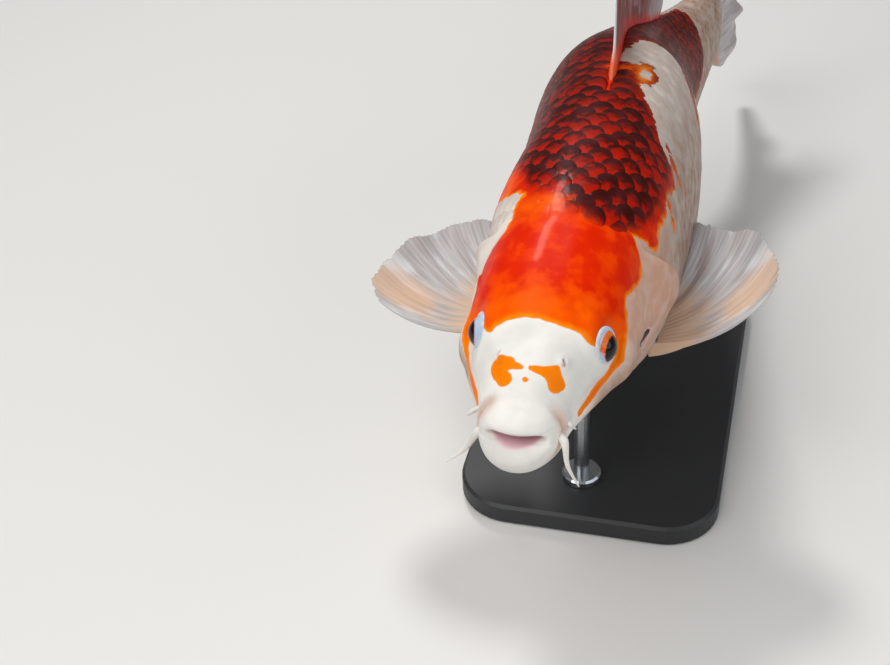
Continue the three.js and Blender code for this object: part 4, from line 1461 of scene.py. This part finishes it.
def fin_finish(name, colours, root_colour, root_to, front_colour=None, glow=0.0, slot=0.0):
    """Pale rays over a cool membrane, with the body's colour running up from the root.

    root_to is how far out that colour reaches, glow how warm the zone near the front edge is,
    and slot how far out the dark line of painted shade lies where a paired fin meets the body.
    """
    f = Finish(name, roughness=0.45, specular=0.09, coat=0.03, coat_roughness=0.2, under=0.2)
    join = f.node("ShaderNodeCombineXYZ")
    f.feed(join.inputs[0], f.attribute("fan_ray"))
    f.feed(join.inputs[1], f.attribute("fan_out"))
    fan = join.outputs[0]
    streak = f.noise(1.6, 4, vector=fan, stretch=(1.0, 0.55, 1.0))
    # Clouds that set where the fin is painted paler, as highlight on its folds.
    fold = f.noise(1.0, 2, vector=fan, stretch=(0.42, 0.8, 1.0))
    across, out = f.attribute("across"), f.attribute("out")
    membrane = f.mix(f.ramp(streak, 0.4, 0.7, 0, 0.6), colours.membrane, colours.streak)
    if glow:
        near_front = f.times(f.ramp(across, 0.04, 0.1), f.ramp(across, 0.34, 0.22))
        near_front = f.times(near_front, f.ramp(out, 0.4, 0.6))
        membrane = f.mix(f.times(near_front, glow), membrane, colours.peach)
    if front_colour:
        membrane = f.mix(f.ramp(across, 1.05, 0.75, 0, 0.95), membrane, front_colour)
        membrane = f.mix(f.ramp(across, 0.02, 0.008), membrane, colours.ray)
    paler = 0.1 if front_colour else 0.32
    # Painted highlight: where the fold clouds are high, the rays show more and the fin turns whiter, as
    # if its folds caught the light.
    shows = f.times(f.ramp(f.attribute("ray"), 0.2, 0.9, 0, paler), f.ramp(fold, 0.35, 0.6, 0.35, 1))
    colour = f.mix(shows, membrane, colours.ray)
    colour = f.mix(f.ramp(fold, 0.52, 0.7, 0, 2 * paler), colour, colours.ray)
    # Painted shade: the fin greys towards its outer edge.
    colour = f.mix(f.ramp(out, 0.7, 1.0, 0, 0.3), colour, colours.streak)
    reach = f.plus(out, f.ramp(streak, 0.2, 0.8, -0.12, 0.12))
    root = root_colour
    if front_colour:
        root = f.mix(f.ramp(across, 0.08, 0.03), root_colour, colours.orange)
    colour = f.mix(f.ramp(reach, root_to, root_to * 0.35, 0, 0.9), colour, root)
    # Painted shade: a dark slot on the fin's root where it meets the body, by the gill opening.
    if slot:
        gap = f.times(f.ramp(out, slot, slot * 0.7), f.ramp(across, 0.3, 0.15))
        gap = f.times(gap, f.ramp(across, 0.03, 0.08))
        colour = f.mix(gap, colour, colours.shadow)
    f.colour(colour)
    f.bump(f.noise(5.0, 3, vector=fan, stretch=(1.0, 3.0, 1.0)), 0.25, 0.0005)
    return f.material


def build_fins(colours):
    """Makes the eight fins in their three finishes."""
    front = colours.brown_red
    materials = {
        "pectoral": fin_finish("koi_paired_fin", colours, colours.peach, 0.55, glow=0.85, slot=0.07),
        "dorsal": fin_finish("koi_dorsal_fin", colours, colours.red, 0.35, front_colour=front),
        "tail": fin_finish("koi_tail_fin", colours, colours.beige, 0.3),
    }
    for name, spec in FINS.items():
        build_fin(name, spec, materials)


# ---------------------------------------------------------------- stand and stage

def finish_stand(colours):
    """Finishes the stand's own solids: a matt base and brushed rods."""
    base = Finish("stand_base_finish", roughness=0.5)
    grain = base.noise(6, 4, vector=base.node("ShaderNodeTexCoord").outputs["Object"])
    base.colour(base.mix(base.ramp(grain, 0.3, 0.7, 0, 0.4), colours.base, colours.pupil))
    base.bump(grain, 0.1, 0.0004)
    rod = Finish("stand_rod_finish", roughness=0.3)
    rod.shader.inputs["Metallic"].default_value = 1.0
    place = rod.node("ShaderNodeTexCoord").outputs["Object"]
    brushed = rod.noise(60, 3, vector=place, stretch=(1, 1, 40))
    rod.colour(rod.mix(rod.ramp(brushed, 0.3, 0.7, 0, 0.35), colours.rod, colours.base))
    for name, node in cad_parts.items():
        if name.startswith("stand_"):
            finish = base if name == "stand_base" else rod
            node.data.materials.clear()
            node.data.materials.append(finish.material)


# The camera: where it stands, what it looks at and its lens.
CAMERA_PLACE = (84.9, -617.9, 537.3)
CAMERA_WAY = (-0.1518, 0.7751, -0.6134)
CAMERA_RIGHT = (0.9821, 0.1884, -0.0051)
SENSOR = 36.0  # width of its sensor and length of its lens, in millimetres
LENS = 59.3798
AIM = (0.070845, -0.008174)  # slopes by which the lens turns left of that way and up from it


def add_camera():
    """The camera at the height and side from which the carp is shown."""
    way, right = Vector(CAMERA_WAY).normalized(), Vector(CAMERA_RIGHT).normalized()
    up = right.cross(way)
    aim = (way - right * AIM[0] + up * AIM[1]).normalized()
    right = aim.cross(up).normalized()
    up = right.cross(aim)
    data = bpy.data.cameras.new("camera")
    data.sensor_width = SENSOR
    data.lens = LENS
    data.clip_start = 0.01
    camera = bpy.data.objects.new("camera", data)
    turned = Matrix((right, up, -aim)).transposed().to_4x4()
    camera.matrix_world = Matrix.Translation(Vector(CAMERA_PLACE) * MM) @ turned
    bpy.context.scene.collection.objects.link(camera)
    bpy.context.scene.camera = camera


LIGHTS = (
    # name, place, target, width, power, colour
    ("key", (-0.45, 0.8, 1.4), (0, -0.05, 0.15), 0.3, 11, (1.0, 0.99, 0.97)),
    ("front", (-0.5, -1.0, 1.4), (0, -0.1, 0.12), 1.3, 18, (1.0, 0.99, 0.97)),
    ("side", (1.3, -0.5, 0.9), (0, 0, 0.12), 1.4, 7, (0.95, 0.97, 1.0)),
)
WORLD_LIGHT = 0.22
WORLD_COLOUR = (0.93, 0.95, 1, 1)
FLOOR_HALF = 6.0
FLOOR_CLOUD = (0.7, 0.69, 0.67)


def build_stage(colours):
    """Makes the floor, the lights and the camera."""
    shape = Shape()
    corners = [(-1, -1), (1, -1), (1, 1), (-1, 1)]
    points = np.array([(x * FLOOR_HALF, y * FLOOR_HALF, 0) for x, y in corners])
    shape.add(points, np.array([[0, 1, 2, 3]]))
    floor = Finish("floor_finish", roughness=0.6)
    place = floor.node("ShaderNodeTexCoord").outputs["Object"]
    cloud = floor.noise(2.0, 3, vector=place)
    floor.colour(floor.mix(floor.ramp(cloud, 0.3, 0.7, 0, 0.08), colours.floor, FLOOR_CLOUD))
    made = shape.build("floor", floor.material)
    scene = bpy.context.scene
    world = bpy.data.worlds.new("studio")
    world.use_nodes = True
    background = world.node_tree.nodes["Background"].inputs
    background["Color"].default_value = WORLD_COLOUR
    background["Strength"].default_value = WORLD_LIGHT
    scene.world = world
    scene.view_settings.view_transform = "Standard"
    for name, place, target, width, power, colour in LIGHTS:
        data = bpy.data.lights.new(name, "AREA")
        data.shape = "DISK"
        data.size = width
        data.energy = power
        data.color = colour
        light = bpy.data.objects.new(name, data)
        way = Vector(target) - Vector(place)
        turned = way.to_track_quat("-Z", "Y").to_matrix().to_4x4()
        light.matrix_world = Matrix.Translation(place) @ turned
        scene.collection.objects.link(light)
    add_camera()


# ---------------------------------------------------------------- operators and panel

class KOI_OT_skin(bpy.types.Operator):
    """Make the skin of the head, body and barbels"""

    bl_idname = "koi.make_skin"
    bl_label = "Make skin"

    def execute(self, context):
        build_skin(context.scene.koi_sizes, context.scene.koi_colours)
        return {"FINISHED"}


class KOI_OT_scales(bpy.types.Operator):
    """Make the scales over the body"""

    bl_idname = "koi.make_scales"
    bl_label = "Make scales"

    def execute(self, context):
        build_scales(context.scene.koi_sizes, context.scene.koi_colours)
        return {"FINISHED"}


class KOI_OT_eyes(bpy.types.Operator):
    """Make the eyes and the soft rings round them"""

    bl_idname = "koi.make_eyes"
    bl_label = "Make eyes"

    def execute(self, context):
        build_eyes(context.scene.koi_sizes, context.scene.koi_colours)
        return {"FINISHED"}


class KOI_OT_fins(bpy.types.Operator):
    """Make the fins with their rays"""

    bl_idname = "koi.make_fins"
    bl_label = "Make fins"

    def execute(self, context):
        build_fins(context.scene.koi_colours)
        return {"FINISHED"}


class KOI_OT_stand(bpy.types.Operator):
    """Finish the display stand"""

    bl_idname = "koi.finish_stand"
    bl_label = "Finish stand"

    def execute(self, context):
        finish_stand(context.scene.koi_colours)
        return {"FINISHED"}


class KOI_OT_stage(bpy.types.Operator):
    """Make the floor, the lights and the camera"""

    bl_idname = "koi.make_stage"
    bl_label = "Make stage"

    def execute(self, context):
        build_stage(context.scene.koi_colours)
        return {"FINISHED"}


OPERATORS = (
    KOI_OT_skin, KOI_OT_scales, KOI_OT_eyes, KOI_OT_fins, KOI_OT_stand, KOI_OT_stage,
)


class KOI_PT_panel(bpy.types.Panel):
    """Steps that make the koi carp model."""

    bl_idname = "KOI_PT_panel"
    bl_label = "Koi carp"
    bl_space_type = "VIEW_3D"
    bl_region_type = "UI"
    bl_category = "Koi"

    def draw(self, context):
        for operator in OPERATORS:
            self.layout.operator(operator.bl_idname)
        for group in (context.scene.koi_sizes, context.scene.koi_colours):
            box = self.layout.box()
            for key in group.__annotations__:
                box.prop(group, key)


CLASSES = (KoiColours, KoiSizes, *OPERATORS, KOI_PT_panel)


def register():
    for cls in CLASSES:
        bpy.utils.register_class(cls)
    bpy.types.Scene.koi_colours = PointerProperty(type=KoiColours)
    bpy.types.Scene.koi_sizes = PointerProperty(type=KoiSizes)


def unregister():
    del bpy.types.Scene.koi_sizes
    del bpy.types.Scene.koi_colours
    for cls in reversed(CLASSES):
        bpy.utils.unregister_class(cls)


def main():
    register()
    bpy.ops.koi.make_stage()
    bpy.ops.koi.make_skin()
    bpy.ops.koi.make_scales()
    bpy.ops.koi.make_eyes()
    bpy.ops.koi.make_fins()
    bpy.ops.koi.finish_stand()


if __name__ == "__main__":
    main()
